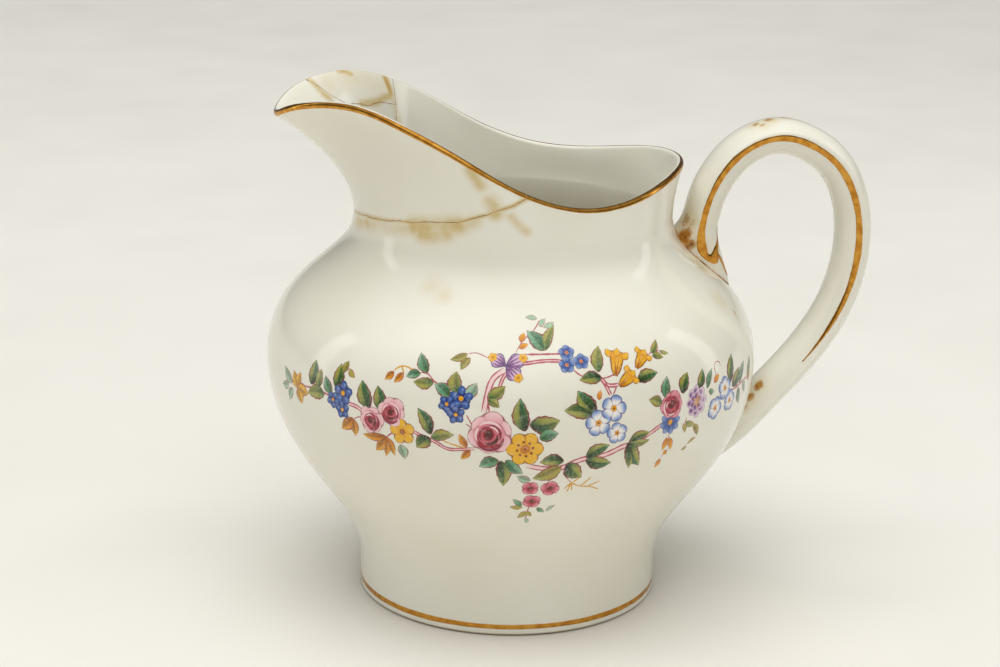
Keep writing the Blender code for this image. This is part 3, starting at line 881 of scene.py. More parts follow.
LEAF_BREADTH = 1.28  # between a leaf's stated and its painted width
BLADE_STEP, STROKE_STEP = 0.28, 0.35  # mm between the rows of points of a petal and of a brush line
BLADE_COLUMNS = np.array([-1, -0.87, -0.72, -0.4, -0.13, 0, 0.13, 0.4, 0.72, 0.87, 1])[None, :]
DISC_RINGS = [0.02, 0.3, 0.55, 0.75, 0.88, 1.0]  # shares of its radius


class Enamel:
    """One colour family of the garland: closed skins on the belly, coloured point by point.

    Places are (degrees from the garland's middle, height in mm), sizes are in mm and directions
    in degrees anticlockwise from the right.
    """

    def __init__(self, name, turn):
        self.name = name
        self.middle = math.radians(turn - 90)
        self.points, self.colours, self.faces = [], [], []

    def spot(self, place):
        return self.middle + math.radians(place[0]), np.interp(place[1], ARC_STEPS[:, 1], ARC)

    def surface(self, place, offsets, lift):
        """Points at offsets in mm right of and above a place."""
        angle, arc = self.spot(place)
        radius = np.interp(arc, ARC, ARC_STEPS[:, 0])
        return on_belly(angle + offsets[..., 0] / radius, arc + offsets[..., 1], lift)

    def between(self, start, end):
        """Offset in mm from one place to another."""
        (a, low), (b, high) = self.spot(start), self.spot(end)
        radius = np.interp((low + high) / 2, ARC, ARC_STEPS[:, 0])
        return np.array([(b - a) * radius, high - low])

    def moved(self, place, direction, distance):
        """The place at a distance in mm from another."""
        arc = self.spot(place)[1]
        radius = np.interp(arc, ARC, ARC_STEPS[:, 0])
        turn = math.radians(direction)
        across = math.degrees(distance * math.cos(turn) / radius)
        return place[0] + across, np.interp(arc + distance * math.sin(turn), ARC, ARC_STEPS[:, 1])

    def skin(self, top, bottom, colours):
        """A closed patch over a grid of points."""
        rows, columns = top.shape[:2]
        first = len(self.points)
        half = rows * columns
        self.points += list(top.reshape(-1, 3)) + list(bottom.reshape(-1, 3))
        self.colours += list(colours.reshape(-1, 3)) * 2
        upper = grid_faces(rows, columns, first=first)
        self.faces += upper
        self.faces += [tuple(i + half for i in face[::-1]) for face in upper]
        rim = [i * columns for i in range(rows)]
        rim += [(rows - 1) * columns + j for j in range(1, columns)]
        rim += [i * columns + columns - 1 for i in range(rows - 2, -1, -1)]
        rim += list(range(columns - 2, 0, -1))
        for a, b in zip(rim, rim[1:] + rim[:1]):
            self.faces.append((first + a, first + b, first + half + b, first + half + a))

    def blade(self, place, direction, length, width, shape, tones, lift, bend=0.0, edge=CRIMSON,
              rib=None, light_side=None):
        """A leaf or petal from a place outwards. shape(t) is its half width as a share of width."""
        rows = max(7, int(length / BLADE_STEP) + 4)
        t = np.linspace(0, 1, rows)[:, None]
        across = BLADE_COLUMNS
        half = width / 2 * shape(t)
        x = t * length + 0 * across
        y = half * across + bend * length * np.sin(math.pi * t)
        turn = math.radians(direction)
        offsets = np.stack([x * math.cos(turn) - y * math.sin(turn),
                            x * math.sin(turn) + y * math.cos(turn)], axis=-1)
        crown = lift * (0.55 + 0.45 * (1 - across**4)) + 0 * t
        colours = blend_colours(t + 0.22 * across * (1 - t), *tones)
        if light_side is not None:
            lit = 0.8 * np.clip(across / 0.2, 0, 1) * np.clip((t - 0.1) / 0.25, 0, 1)
            colours = colours + (blend_colours(t + 0 * across, *light_side) - colours) * lit[..., None]
        if rib is not None:
            shaded = 0.55 * np.exp(-(((across + 0.3) / 0.34) ** 2)) * (t < 0.88)
            colours = colours * (1 - shaded[..., None])
            colours = colours + (np.array(rib) - colours) * (0.7 * (across == 0) * (t < 0.9))[..., None]
        rim = (abs(across) > 0.8) | (t == 0) | (t > 1 - 0.12 / length)
        colours = colours + (np.array(edge) - colours) * (0.85 * rim)[..., None]
        self.skin(self.surface(place, offsets, crown), self.surface(place, offsets, -SKIN_DEPTH), colours)

    def leaf(self, base, tip, width, tone="dark", bend=0.06, lift=0.03):
        """A leaf from its base to its tip, with a rib and a lighter side where it is large enough."""
        step = self.between(base, tip)
        length = np.hypot(*step)
        toothed = 0.05 if width > 1.5 else 0.0

        def shape(t):
            plain = np.sin(math.pi * np.clip(t, 0.015, 0.985) ** 0.82) ** 0.85
            return plain * (1 + toothed * np.sin(t * 26))

        edge = CRIMSON if width > 1.0 else SOFT_CRIMSON
        rib = None
        if width > 0.95:
            dark = tone in ("dark", "teal", "lime")
            rib = DARK_LEAF if dark else blend_colours(0.5, CRIMSON, LEAF_TONES[tone][0])
        light_side = (GREEN, OLIVE, LIME) if tone in ("dark", "lime", "fresh") else None
        self.blade(base, math.degrees(math.atan2(step[1], step[0])), length, LEAF_BREADTH * width, shape,
                   LEAF_TONES[tone], lift, bend, edge, rib, light_side)

    def disc(self, place, offset, size, tones, lift, turn=0.0, light=None, edge=None, lobes=(0, 0.0)):
        """A round or oval spot coloured from its middle to its rim; light shifts its middle."""
        sectors = max(12, int(size[0] * 12))
        around = np.arange(sectors) / sectors * 2 * math.pi
        count, depth = lobes
        outline = 1 - depth * (0.5 + 0.5 * np.cos(count * around)) if count else np.ones(sectors)
        x, y = size[0] * outline * np.cos(around), size[1] * outline * np.sin(around)
        cos, sin = math.cos(math.radians(turn)), math.sin(math.radians(turn))
        rim = np.stack([x * cos - y * sin, x * sin + y * cos], axis=-1)
        first = len(self.points)
        shift = np.array(light if light is not None else (0, 0), float)
        for k, share in enumerate(DISC_RINGS):
            offsets = np.array(offset) + rim * share + shift * (1 - share) * np.array(size)
            lifted = lift * (1 - 0.45 * share**4)
            self.points += list(self.surface(place, offsets, lifted))
            colour = blend_colours(np.full(sectors, share), *tones)
            if edge is not None and k == len(DISC_RINGS) - 1:
                colour = np.tile(edge, (sectors, 1))
            self.colours += list(colour)
        self.points += list(self.surface(place, np.array(offset) + rim, -SKIN_DEPTH))
        self.colours += list(np.tile(tones[-1], (sectors, 1)))
        rows = len(DISC_RINGS) + 1
        self.faces += grid_faces(rows, sectors, close_columns=True, first=first)
        self.faces.append(tuple(range(first, first + sectors)))
        self.faces.append(tuple(range(first + (rows - 1) * sectors, first + rows * sectors)))

    def stroke(self, places, width=0.22, colour=SOFT_CRIMSON, lift=0.02, shift=0.0, taper=0.25):
        """A brush line through places, moved sideways by shift."""
        spots = np.array([self.spot(place) for place in places])
        radius = np.interp(spots[:, 1], ARC, ARC_STEPS[:, 0])
        line = Curve(np.stack([(spots[:, 0] - spots[0, 0]) * radius, spots[:, 1]], axis=1))
        count = max(6, int(line.length_at[-1] / STROKE_STEP))
        where = np.linspace(0, 1, count)
        middle, beside = beside_line(line, where)
        ends = np.clip(np.minimum(where, 1 - where) / 0.12, 0, 1)
        half = width / 2 * (taper + (1 - taper) * ends)
        half = half * [1 + 0.25 * waver(w * count, spots[0, 0] * 9) for w in where]
        across = np.array([-1, -0.4, 0.4, 1])
        spread = middle[:, None] + beside[:, None] * (shift + half[:, None] * across)[..., None]
        angle = spots[0, 0] + spread[..., 0] / np.interp(middle[:, 1], ARC, ARC_STEPS[:, 0])[:, None]
        crown = lift * (1 - 0.5 * across**2) + 0 * spread[..., 0]
        colours = np.tile(colour, (*angle.shape, 1))
        self.skin(on_belly(angle, spread[..., 1], crown), on_belly(angle, spread[..., 1], -SKIN_DEPTH),
                  colours)

    def arc(self, place, offsets, width, colour, lift):
        """A brush line through offsets in mm from a place."""
        line = Curve(offsets)
        where = np.linspace(0, 1, 12)
        middle, beside = beside_line(line, where)
        half = width * np.sqrt(np.clip(np.sin(math.pi * where), 0.02, 1))
        across = np.array([-1.0, 0.0, 1.0])
        spread = middle[:, None] + beside[:, None] * (half[:, None] * across)[..., None]
        crown = lift * (1 - 0.2 * across**2) + 0 * spread[..., 0]
        colours = np.tile(colour, (len(where), 3, 1))
        self.skin(self.surface(place, spread, crown), self.surface(place, spread, -SKIN_DEPTH), colours)

    def build(self, enamel):
        """The family as one mesh, with its colours as a vertex attribute."""
        piece = add_mesh(self.name, self.points, self.faces, enamel)
        paint = piece.data.color_attributes.new("paint", "FLOAT_COLOR", "POINT")
        rgba = np.concatenate([np.array(self.colours), np.ones((len(self.points), 1))], axis=1)
        paint.data.foreach_set("color", rgba.astype(np.float32).ravel())


def petal(low, high, lean, fullness):
    """A petal's half width along it. Lean over 1 moves the widest part outwards."""

    def shape(t):
        return np.sin(math.pi * np.clip(t, low, high) ** lean) ** fullness

    return shape


round_petal = petal(0.06, 0.99, 1.5, 0.6)
heart_petal = petal(0.06, 0.99, 1.8, 0.5)
bell_petal = petal(0.05, 0.96, 1.0, 0.5)
pointed_petal = petal(0.03, 0.985, 0.95, 0.9)


def blossom(e, place, size, count, turn, tones, centre, lift=0.035, shape=round_petal, edge=CRIMSON,
            fullness=1.0):
    """A flower of equal petals seen from the front, with a round eye."""
    width = fullness * size * 1.56 * math.sin(math.pi / count)
    for i in range(count):
        e.blade(place, turn + i * 360 / count, size, width, shape, tones, lift + 0.002 * i, edge=edge)
    top = lift + 0.002 * count
    e.disc(place, (0, 0), (size * 0.26, size * 0.26), centre, top + 0.01, edge=BROWN)


def rose(e, place, size, turn, deep=False):
    """A full rose: pale outer petals, a deeper ball of folded petals and a dark heart."""
    outer = (RED, ROSE, PINK) if deep else (ROSE, PINK, PALE_PINK)
    lift = 0.03
    for i in range(6):
        e.blade(place, turn + 60 * i, size * (1.02 if i % 2 else 0.93), size * 1.05, round_petal, outer,
                lift + 0.002 * i, edge=CRIMSON)
    e.disc(place, (-0.06 * size, -0.1 * size), (0.76 * size, 0.72 * size),
           (RED, ROSE, RED if deep else PINK), lift + 0.02, turn, light=(-0.1, 0.15), edge=CRIMSON)
    folds = (  # reach, first and last direction, half width, colour
        (0.64, 195, 335, 0.10, CRIMSON), (0.62, 15, 115, 0.06, PALE_PINK), (0.52, 150, 300, 0.08, RED),
        (0.50, -40, 70, 0.07, CRIMSON), (0.40, 60, 200, 0.06, CRIMSON), (0.37, 220, 350, 0.08, MAROON),
        (0.57, 120, 185, 0.055, PALE_PINK), (0.43, 0, 70, 0.04, PALE_PINK))
    for i, (reach, first, last, half, colour) in enumerate(folds):
        curve = [((reach * math.cos(a) - 0.06) * size, (reach * math.sin(a) - 0.1) * size)
                 for a in np.radians(np.linspace(first + turn, last + turn, 5))]
        e.arc(place, curve, half * size, colour, lift + 0.024 + 0.002 * i)
    e.disc(place, (-0.07 * size, -0.04 * size), (0.32 * size, 0.25 * size), (MAROON, MAROON, RED),
           lift + 0.042, turn + 60)


def rosebud(e, place, size, turn):
    """A small rose of four petals round a red heart."""
    for i in range(4):
        e.blade(place, turn + 45 + 90 * i, size, size * 1.15, round_petal, (RED, ROSE, PINK),
                0.03 + 0.002 * i, edge=CRIMSON)
    e.disc(place, (0, -0.08 * size), (0.6 * size, 0.54 * size), (RED, RED, ROSE), 0.042, turn,
           edge=CRIMSON)
    e.disc(place, (0.03 * size, 0.06 * size), (0.34 * size, 0.24 * size), (MAROON, MAROON), 0.05,
           turn - 15)


def blue_cluster(e, flowers):
    """Deep blue forget-me-nots on a dark ground: place, size and turn of each."""
    for place, size, turn in flowers:
        e.disc(place, (0, 0), (0.8 * size, 0.8 * size), (NAVY, NAVY), 0.028)
    for place, size, turn in flowers:
        for i in range(5):
            direction = math.radians(turn + 72 * i)
            offset = (0.62 * size * math.cos(direction), 0.62 * size * math.sin(direction))
            e.disc(place, offset, (0.4 * size, 0.36 * size), (SKY, BLUE, BLUE, NAVY), 0.035 + 0.002 * i,
                   math.degrees(direction), light=(0.25, 0.3), edge=NAVY)
        e.disc(place, (0, 0), (0.22 * size, 0.22 * size), (YELLOW, ORANGE), 0.05, edge=BROWN)


def forget_me_not(e, place, size, turn, lift=0.035):
    """White petals shaded with blue round a gold eye."""
    blossom(e, place, size, 5, turn, (BLUE, WHITE, WHITE, SKY, BLUE), (YELLOW, ORANGE), lift,
            heart_petal, edge=BLUE_VIOLET)
    e.disc(place, (0, 0), (0.1 * size, 0.1 * size), (BROWN, BROWN), lift + 0.035)


def tulip(e, base, mouth, width):
    """A yellow bell with a flared, pointed mouth."""
    step = e.between(base, mouth)
    length, direction = np.hypot(*step), math.degrees(math.atan2(step[1], step[0]))
    for side in (-1, 1, 0):
        e.blade(base, direction + 13 * side, length * (1.05 if side else 0.96), width * 0.8, bell_petal,
                (AMBER, YELLOW, ORANGE), 0.035 + 0.004 * (side == 0), bend=-0.1 * side, edge=BROWN)
    for side in (-1, 0, 1):
        start = e.moved(base, direction + 19 * side, length * 0.76)
        e.blade(start, direction + 38 * side, length * 0.42, width * 0.5, pointed_petal,
                (ORANGE, YELLOW, YELLOW), 0.042, edge=BROWN)
    for side in (-1, 1):
        e.blade(base, direction + 7 * side, length * 0.75, width * 0.1, pointed_petal,
                (BROWN, AMBER, ORANGE), 0.046, edge=AMBER)


def bell(e, base, mouth, width):
    """A striped purple bell with a yellow mouth."""
    step = e.between(base, mouth)
    length, direction = np.hypot(*step), math.degrees(math.atan2(step[1], step[0]))
    e.blade(base, direction, length * 1.05, width, round_petal, (PURPLE, LILAC, LILAC), 0.036,
            edge=VIOLET)
    for side in (-1, -0.33, 0.33, 1):
        e.blade(base, direction + side * 20, length * 0.9, width * 0.17, pointed_petal,
                (VIOLET, PURPLE, PURPLE), 0.042, bend=side * 0.1, edge=PURPLE)
    e.disc(mouth, (0, 0), (0.33 * width, 0.33 * width), (AMBER, YELLOW, YELLOW), 0.048, direction,
           edge=CRIMSON, lobes=(5, 0.22))


def big_yellow(e, place, size):
    """A yellow flower of six petals with a ring of brown stamens."""
    for i in range(6):
        e.blade(place, 62 - 60 * i, size, size * 0.86, round_petal,
                (ORANGE, YELLOW, YELLOW), 0.04 + 0.002 * i, edge=BROWN)
    e.disc(place, (0, 0), (size * 0.33, size * 0.33), (ORANGE, AMBER, ORANGE), 0.058)
    for i in range(8):
        turn = math.radians(45 * i + 10)
        e.disc(place, (0.42 * size * math.cos(turn), 0.42 * size * math.sin(turn)),
               (0.085 * size, 0.085 * size), (BROWN, BROWN), 0.062)
    e.disc(place, (0, 0), (size * 0.1, size * 0.1), (BROWN, BROWN), 0.064)


def peony(e, place, size):
    """Ruffled white petals edged with purple, and loose gold stamens."""
    for ring, (reach, count) in enumerate(((0.62, 8), (0.34, 6))):
        for i in range(count):
            direction = 360 / count * i + 20 * ring
            x, y = (reach * size * f(math.radians(direction)) for f in (math.cos, math.sin))
            e.disc(place, (x * 0.85, y), (0.38 * size, 0.32 * size), (VIOLET, PURPLE, LILAC, WHITE),
                   0.035 + 0.01 * ring + 0.001 * i, direction, light=(-0.6, 0), edge=PURPLE)
    for i in range(6):
        e.blade(place, 30 + 58 * i, size * 0.42, size * 0.1, pointed_petal, (ORANGE, YELLOW, YELLOW), 0.062,
                edge=AMBER)


def daisy(e, place, size):
    blossom(e, place, size, 8, 10, (NAVY, BLUE, SKY), (YELLOW, AMBER), 0.024, edge=NAVY)


# Leaves: base, tip, width, tone.
LEAVES = [
    # round the great rose and the yellow flower
    ((-4.6, 43.6), (-5.7, 49.0), 2.3, "dark"), ((-3.6, 44.6), (2.9, 45.3), 2.5, "lime"),
    ((-1.4, 42.3), (2.7, 43.1), 1.9, "teal"), ((-10.2, 38.3), (-14.5, 36.9), 1.8, "teal"),
    ((-9.8, 38.2), (-9.1, 33.3), 2.0, "lime"), ((-8.6, 38.3), (-4.8, 35.8), 1.8, "teal"),
    # under the yellow flower, along the vine
    ((-3.0, 34.4), (-6.0, 35.3), 1.2, "pale"), ((4.2, 38.1), (-1.1, 37.9), 1.9, "lime"),
    ((3.8, 36.9), (-2.5, 34.8), 2.1, "olive"), ((5.0, 37.5), (8.7, 34.6), 2.5, "lime"),
    ((9.2, 38.4), (14.5, 40.3), 1.9, "dark"), ((9.2, 38.0), (15.4, 36.9), 2.0, "dark"),
    # the three-lobed leaf
    ((19.3, 40.4), (24.5, 41.5), 1.5, "lime"), ((19.5, 40.2), (24.6, 40.1), 1.2, "fresh"),
    ((19.2, 40.3), (20.2, 35.4), 1.9, "lime"), ((19.6, 40.2), (22.9, 35.5), 2.0, "dark"),
    # sprig under the rosebuds
    ((-4.4, 28.7), (-7.5, 28.8), 0.9, "olive"), ((-4.8, 28.8), (-6.8, 30.5), 0.9, "teal"),
    ((-3.6, 27.8), (-5.5, 26.2), 0.9, "olive"), ((-3.2, 27.8), (-2.0, 26.6), 0.8, "olive"),
    ((-3.4, 26.2), (-3.0, 24.9), 0.6, "pale"), ((-0.8, 28.6), (1.2, 27.5), 0.8, "teal"),
    ((1.6, 27.7), (3.6, 29.1), 0.6, "pale"),
    # stem between the bells and the rose
    ((-12.8, 49.0), (-9.0, 50.8), 1.7, "fresh"), ((-12.7, 48.7), (-10.2, 47.5), 1.2, "fresh"),
    # top of the garland
    ((0.0, 55.9), (-4.0, 58.5), 2.2, "teal"), ((0.2, 55.9), (3.4, 59.1), 1.5, "fresh"),
    ((-1.0, 60.0), (-4.2, 60.2), 0.8, "pale"), ((-0.5, 59.0), (1.3, 60.0), 0.8, "pale"),
    ((0.6, 58.9), (3.5, 59.5), 0.9, "pale"),
    ((-18.2, 55.2), (-22.0, 54.2), 1.1, "olive"), ((-17.5, 54.7), (-19.2, 52.9), 1.1, "olive"),
    # round the yellow bells
    ((12.3, 52.5), (13.7, 56.1), 1.8, "fresh"), ((12.9, 51.6), (7.7, 51.5), 1.8, "lime"),
    ((21.6, 50.5), (27.3, 51.2), 1.8, "dark"), ((27.0, 54.1), (30.0, 55.8), 1.0, "fresh"),
    ((27.2, 53.8), (30.0, 53.2), 1.1, "fresh"), ((29.6, 54.2), (31.9, 53.6), 0.6, "fresh"),
    # pair beside the forget-me-nots
    ((10.9, 46.2), (7.0, 49.9), 2.5, "dark"), ((10.3, 46.0), (3.9, 46.9), 2.2, "lime"),
    # right-hand spray
    ((28.7, 46.8), (29.7, 50.3), 1.6, "teal"), ((27.5, 46.0), (24.1, 47.2), 1.5, "fresh"),
    ((33.5, 47.0), (36.0, 50.1), 1.9, "lime"), ((38.9, 47.0), (41.2, 49.9), 1.5, "dark"),
    ((41.9, 46.5), (44.7, 49.4), 1.1, "teal"), ((42.5, 45.9), (44.6, 45.6), 0.9, "teal"),
    ((51.6, 45.6), (54.5, 50.1), 2.0, "dark"), ((52.9, 44.8), (57.4, 47.2), 2.0, "dark"),
    ((57.0, 44.5), (61.0, 47.6), 1.4, "teal"), ((56.5, 43.8), (58.0, 40.6), 1.4, "teal"),
    ((59.6, 44.1), (61.6, 41.9), 1.2, "pale"), ((63.0, 44.6), (66.4, 47.4), 1.5, "teal"),
    ((34.2, 41.6), (35.0, 39.8), 0.8, "olive"), ((34.8, 41.8), (38.1, 40.8), 0.9, "fresh"),
    ((37.6, 40.9), (39.7, 38.5), 1.0, "olive"), ((39.2, 38.2), (36.6, 37.3), 0.5, "olive"),
    ((36.6, 37.0), (35.0, 36.5), 0.5, "olive"),
    # round the left blue flowers
    ((-21.2, 48.8), (-24.8, 50.5), 1.8, "teal"), ((-19.9, 49.4), (-20.2, 52.6), 2.0, "fresh"),
    ((-17.6, 49.0), (-15.3, 51.1), 1.6, "pale"), ((-26.9, 52.0), (-29.5, 54.7), 1.6, "teal"),
    ((-28.5, 51.8), (-31.8, 51.0), 1.3, "teal"), ((-25.1, 50.7), (-29.8, 50.4), 1.6, "fresh"),
    ((-25.1, 42.1), (-28.2, 46.3), 1.9, "dark"), ((-25.1, 41.5), (-20.0, 42.4), 1.6, "fresh"),
    ((-25.3, 41.4), (-28.6, 39.4), 2.1, "lime"),
    # round the pink roses
    ((-40.2, 44.8), (-42.7, 49.1), 2.4, "dark"), ((-37.6, 45.0), (-38.4, 48.8), 2.0, "dark"),
    ((-32.5, 39.4), (-31.7, 36.8), 1.5, "pale"),
    # far left
    ((-50.1, 46.8), (-49.6, 50.8), 2.0, "lime"), ((-51.2, 45.5), (-53.9, 48.1), 1.6, "teal"),
    ((-58.4, 45.8), (-58.0, 50.0), 2.2, "dark"), ((-55.8, 45.8), (-55.4, 48.9), 1.7, "fresh"),
    ((-53.6, 45.0), (-59.6, 44.1), 2.1, "fresh"), ((-48.3, 49.6), (-47.6, 51.5), 1.1, "olive"),
    ((-47.0, 50.3), (-44.9, 49.2), 0.9, "olive"), ((-66.5, 44.4), (-71.0, 46.4), 1.5, "pale"),
    ((-66.5, 43.4), (-68.5, 40.9), 1.3, "pale"), ((-68.5, 43.8), (-72.0, 43.0), 1.2, "pale"),
]

# Orange buds and drops: base, tip, width.
BUDS = [
    ((-5.5, 57.0), (-4.6, 58.2), 0.9), ((-6.0, 56.2), (-3.7, 56.8), 0.8),
    ((-35.0, 51.4), (-36.9, 50.0), 1.0), ((-32.6, 51.5), (-34.5, 49.8), 1.0),
    ((-17.1, 40.4), (-18.8, 42.6), 1.0), ((-16.4, 39.9), (-18.5, 38.1), 1.0),
    ((-44.7, 42.3), (-48.3, 39.8), 1.7), ((-44.6, 42.2), (-44.4, 39.2), 1.4),
    ((11.8, 48.2), (12.3, 49.8), 0.7), ((44.7, 47.0), (47.2, 48.0), 0.9),
    ((29.6, 39.8), (28.8, 37.5), 0.9), ((30.2, 39.7), (31.4, 37.3), 0.9),
    ((30.3, 37.2), (29.2, 36.7), 0.8), ((28.8, 35.9), (27.9, 34.3), 0.8),
    ((63.5, 43.6), (65.6, 45.4), 1.4),
]

# Stems: places, width, and the distance between their two lines, or 0 for one line.
STEMS = [
    ([(-4.2, 37.4), (0.1, 36.7), (4.1, 36.8), (6.8, 37.7), (9.2, 38.2), (13.9, 38.6), (17.6, 39.6),
      (20.5, 40.0)], 0.22, 0.75),
    ([(20.5, 40.2), (24.3, 41.2), (27.9, 42.6)], 0.22, 0.5),
    ([(-9.2, 53.2), (-11.6, 52.0), (-12.8, 49.7), (-13.5, 46.6)], 0.2, 0.8),
    ([(-8.7, 52.9), (-9.8, 51.7), (-10.3, 50.5)], 0.2, 0.4),
    ([(-12.9, 49.2), (-12.3, 46.6)], 0.2, 0.0),
    ([(-4.8, 55.4), (0.2, 55.4), (5.3, 55.4)], 0.3, 0.0),
    ([(-6.2, 54.0), (-3.0, 54.3), (0.5, 54.5), (5.0, 54.3)], 0.24, 0.4),
    ([(6.4, 53.2), (7.6, 52.4), (10.1, 51.7), (13.0, 51.5), (14.4, 51.6), (16.3, 52.0)], 0.22, 0.0),
    ([(12.7, 51.6), (14.0, 50.5), (16.8, 50.3)], 0.22, 0.45), ([(13.3, 51.0), (14.6, 48.8)], 0.22, 0.4),
    ([(16.2, 50.0), (15.2, 48.8)], 0.2, 0.0),
    ([(-0.5, 59.8), (-1.7, 58.8), (-4.0, 57.7), (-5.4, 56.9), (-6.8, 55.6)], 0.14, 0.0),
    ([(-0.5, 59.2), (0.6, 58.9)], 0.12, 0.0),
    ([(-18.0, 55.2), (-16.4, 55.4), (-14.8, 55.2), (-13.2, 54.8)], 0.14, 0.0),
    ([(26.0, 54.0), (27.2, 54.2), (29.6, 54.3)], 0.14, 0.0),
    ([(-24.5, 50.6), (-25.3, 51.0), (-26.9, 51.9), (-28.5, 51.9)], 0.2, 0.0),
    ([(-21.2, 48.6), (-23.0, 49.9), (-24.8, 50.9)], 0.2, 0.0),
    ([(-29.5, 42.3), (-26.5, 41.4), (-24.4, 40.9), (-21.3, 39.8), (-18.6, 39.9), (-15.3, 40.2)],
     0.22, 0.4),
    ([(-17.3, 46.0), (-15.6, 43.9)], 0.2, 0.0), ([(-17.3, 44.5), (-15.4, 43.5)], 0.2, 0.0),
    ([(-36.0, 40.2), (-34.5, 41.2), (-33.5, 41.6)], 0.2, 0.0),
    ([(-44.6, 42.1), (-43.2, 42.8), (-41.5, 42.9)], 0.16, 0.0),
    ([(-46.0, 44.7), (-43.5, 44.5), (-41.5, 43.8)], 0.2, 0.5),
    ([(-48.9, 48.3), (-48.3, 49.5), (-47.6, 50.2), (-46.8, 50.3)], 0.16, 0.0),
    ([(-62.0, 44.9), (-58.1, 45.2), (-53.5, 45.2), (-51.5, 45.0)], 0.24, 0.0),
    ([(46.0, 48.0), (45.7, 49.3), (46.8, 50.1), (48.2, 49.8), (48.2, 49.2)], 0.12, 0.0),
    ([(52.0, 44.2), (55.0, 44.1), (58.0, 44.3), (63.0, 44.4)], 0.24, 0.0),
    ([(30.0, 41.0), (30.0, 39.7)], 0.12, 0.0), ([(31.2, 37.6), (30.0, 37.0), (28.8, 36.0)], 0.1, 0.0),
    ([(-2.6, 29.4), (-3.2, 27.4), (-3.4, 25.4)], 0.16, 0.0),
    ([(4.6, 36.2), (5.4, 34.6), (6.6, 33.7)], 0.12, 0.0),
    ([(35.0, 42.6), (34.6, 41.6)], 0.12, 0.0),
]

# Gold-coloured twigs, without leaves.
TWIGS = [
    [(6.4, 33.8), (8.8, 32.8), (10.7, 32.6), (13.8, 31.7)], [(6.5, 33.7), (5.0, 32.4)],
    [(6.5, 33.7), (5.8, 31.7)], [(6.6, 33.6), (7.0, 32.0)], [(8.8, 32.8), (11.2, 34.4)],
    [(10.6, 32.6), (13.6, 33.5)], [(6.8, 33.7), (8.4, 34.6)],
    [(-22.6, 41.2), (-19.8, 40.6), (-17.0, 40.1)], [(-30.0, 52.0), (-33.5, 52.4), (-35.2, 51.5)],
    [(-33.4, 52.4), (-32.4, 51.4)],
]
TWIG_GOLD = linear(214, 160, 52)

# Flowers: place, size and turn in degrees, or base, mouth and width for the bells.
ROSES = [((-12.0, 43.0), 3.8, 20), ((-39.6, 42.9), 2.5, 70), ((-34.4, 45.0), 2.6, -10)]
DEEP_ROSE = ((30.3, 45.5), 2.5, 120)
ROSEBUDS = [((-2.9, 32.8), 1.5, 0), ((1.7, 32.7), 1.65, 30), ((-2.3, 30.0), 1.6, -10)]
GREAT_YELLOW = ((-4.5, 40.4), 3.1)
SMALL_YELLOW = ((-31.8, 41.8), 2.3)
YELLOW_BELLS = [((16.3, 51.7), (18.0, 55.0), 2.6), ((22.0, 52.4), (25.2, 54.4), 2.2),
                ((17.0, 50.1), (20.8, 51.7), 2.4)]
BLUE_CLUSTERS = [
    [((-18.6, 48.6), 2.05, 90), ((-21.7, 47.5), 1.5, 60), ((-19.6, 45.9), 1.6, 100)],
    [((-47.7, 46.2), 2.1, 90), ((-50.7, 44.6), 1.5, 60), ((-47.8, 43.3), 1.6, 100)],
]
SMALL_BLUES, SMALL_BLUE_SIZE = [(5.4, 55.5), (5.1, 53.8), (8.6, 54.2)], 1.4
DAISY = ((30.0, 42.5), 2.2)
FORGET_ME_NOTS = [
    ((15.2, 46.6), 2.3, 70), ((11.6, 44.4), 2.3, 30), ((16.1, 42.3), 1.9, 100),
    ((49.2, 45.2), 2.1, 90), ((45.2, 42.4), 2.1, 60), ((51.8, 42.5), 2.0, 80),
]
PURPLE_BELLS_BASE, PURPLE_BELL_WIDTH = (-9.0, 53.8), 2.7
PURPLE_BELL_MOUTHS = [(-12.1, 54.9), (-5.1, 54.9), (-6.2, 52.1)]
PEONY = ((38.2, 44.9), 2.9)

# Leaves that spread like petals from one base: base, tone, then tip and width of each.
FANS = [
    ((-36.0, 40.4), "orange",
     [((-42.2, 39.9), 1.2), ((-39.0, 37.4), 1.5), ((-36.5, 36.7), 1.1), ((-34.2, 37.1), 1.1)]),
    ((-64.0, 44.0), "yellow",
     [((-66.0, 46.6), 1.7), ((-63.0, 46.9), 1.5), ((-62.4, 41.5), 1.9), ((-59.6, 43.8), 1.8)]),
]


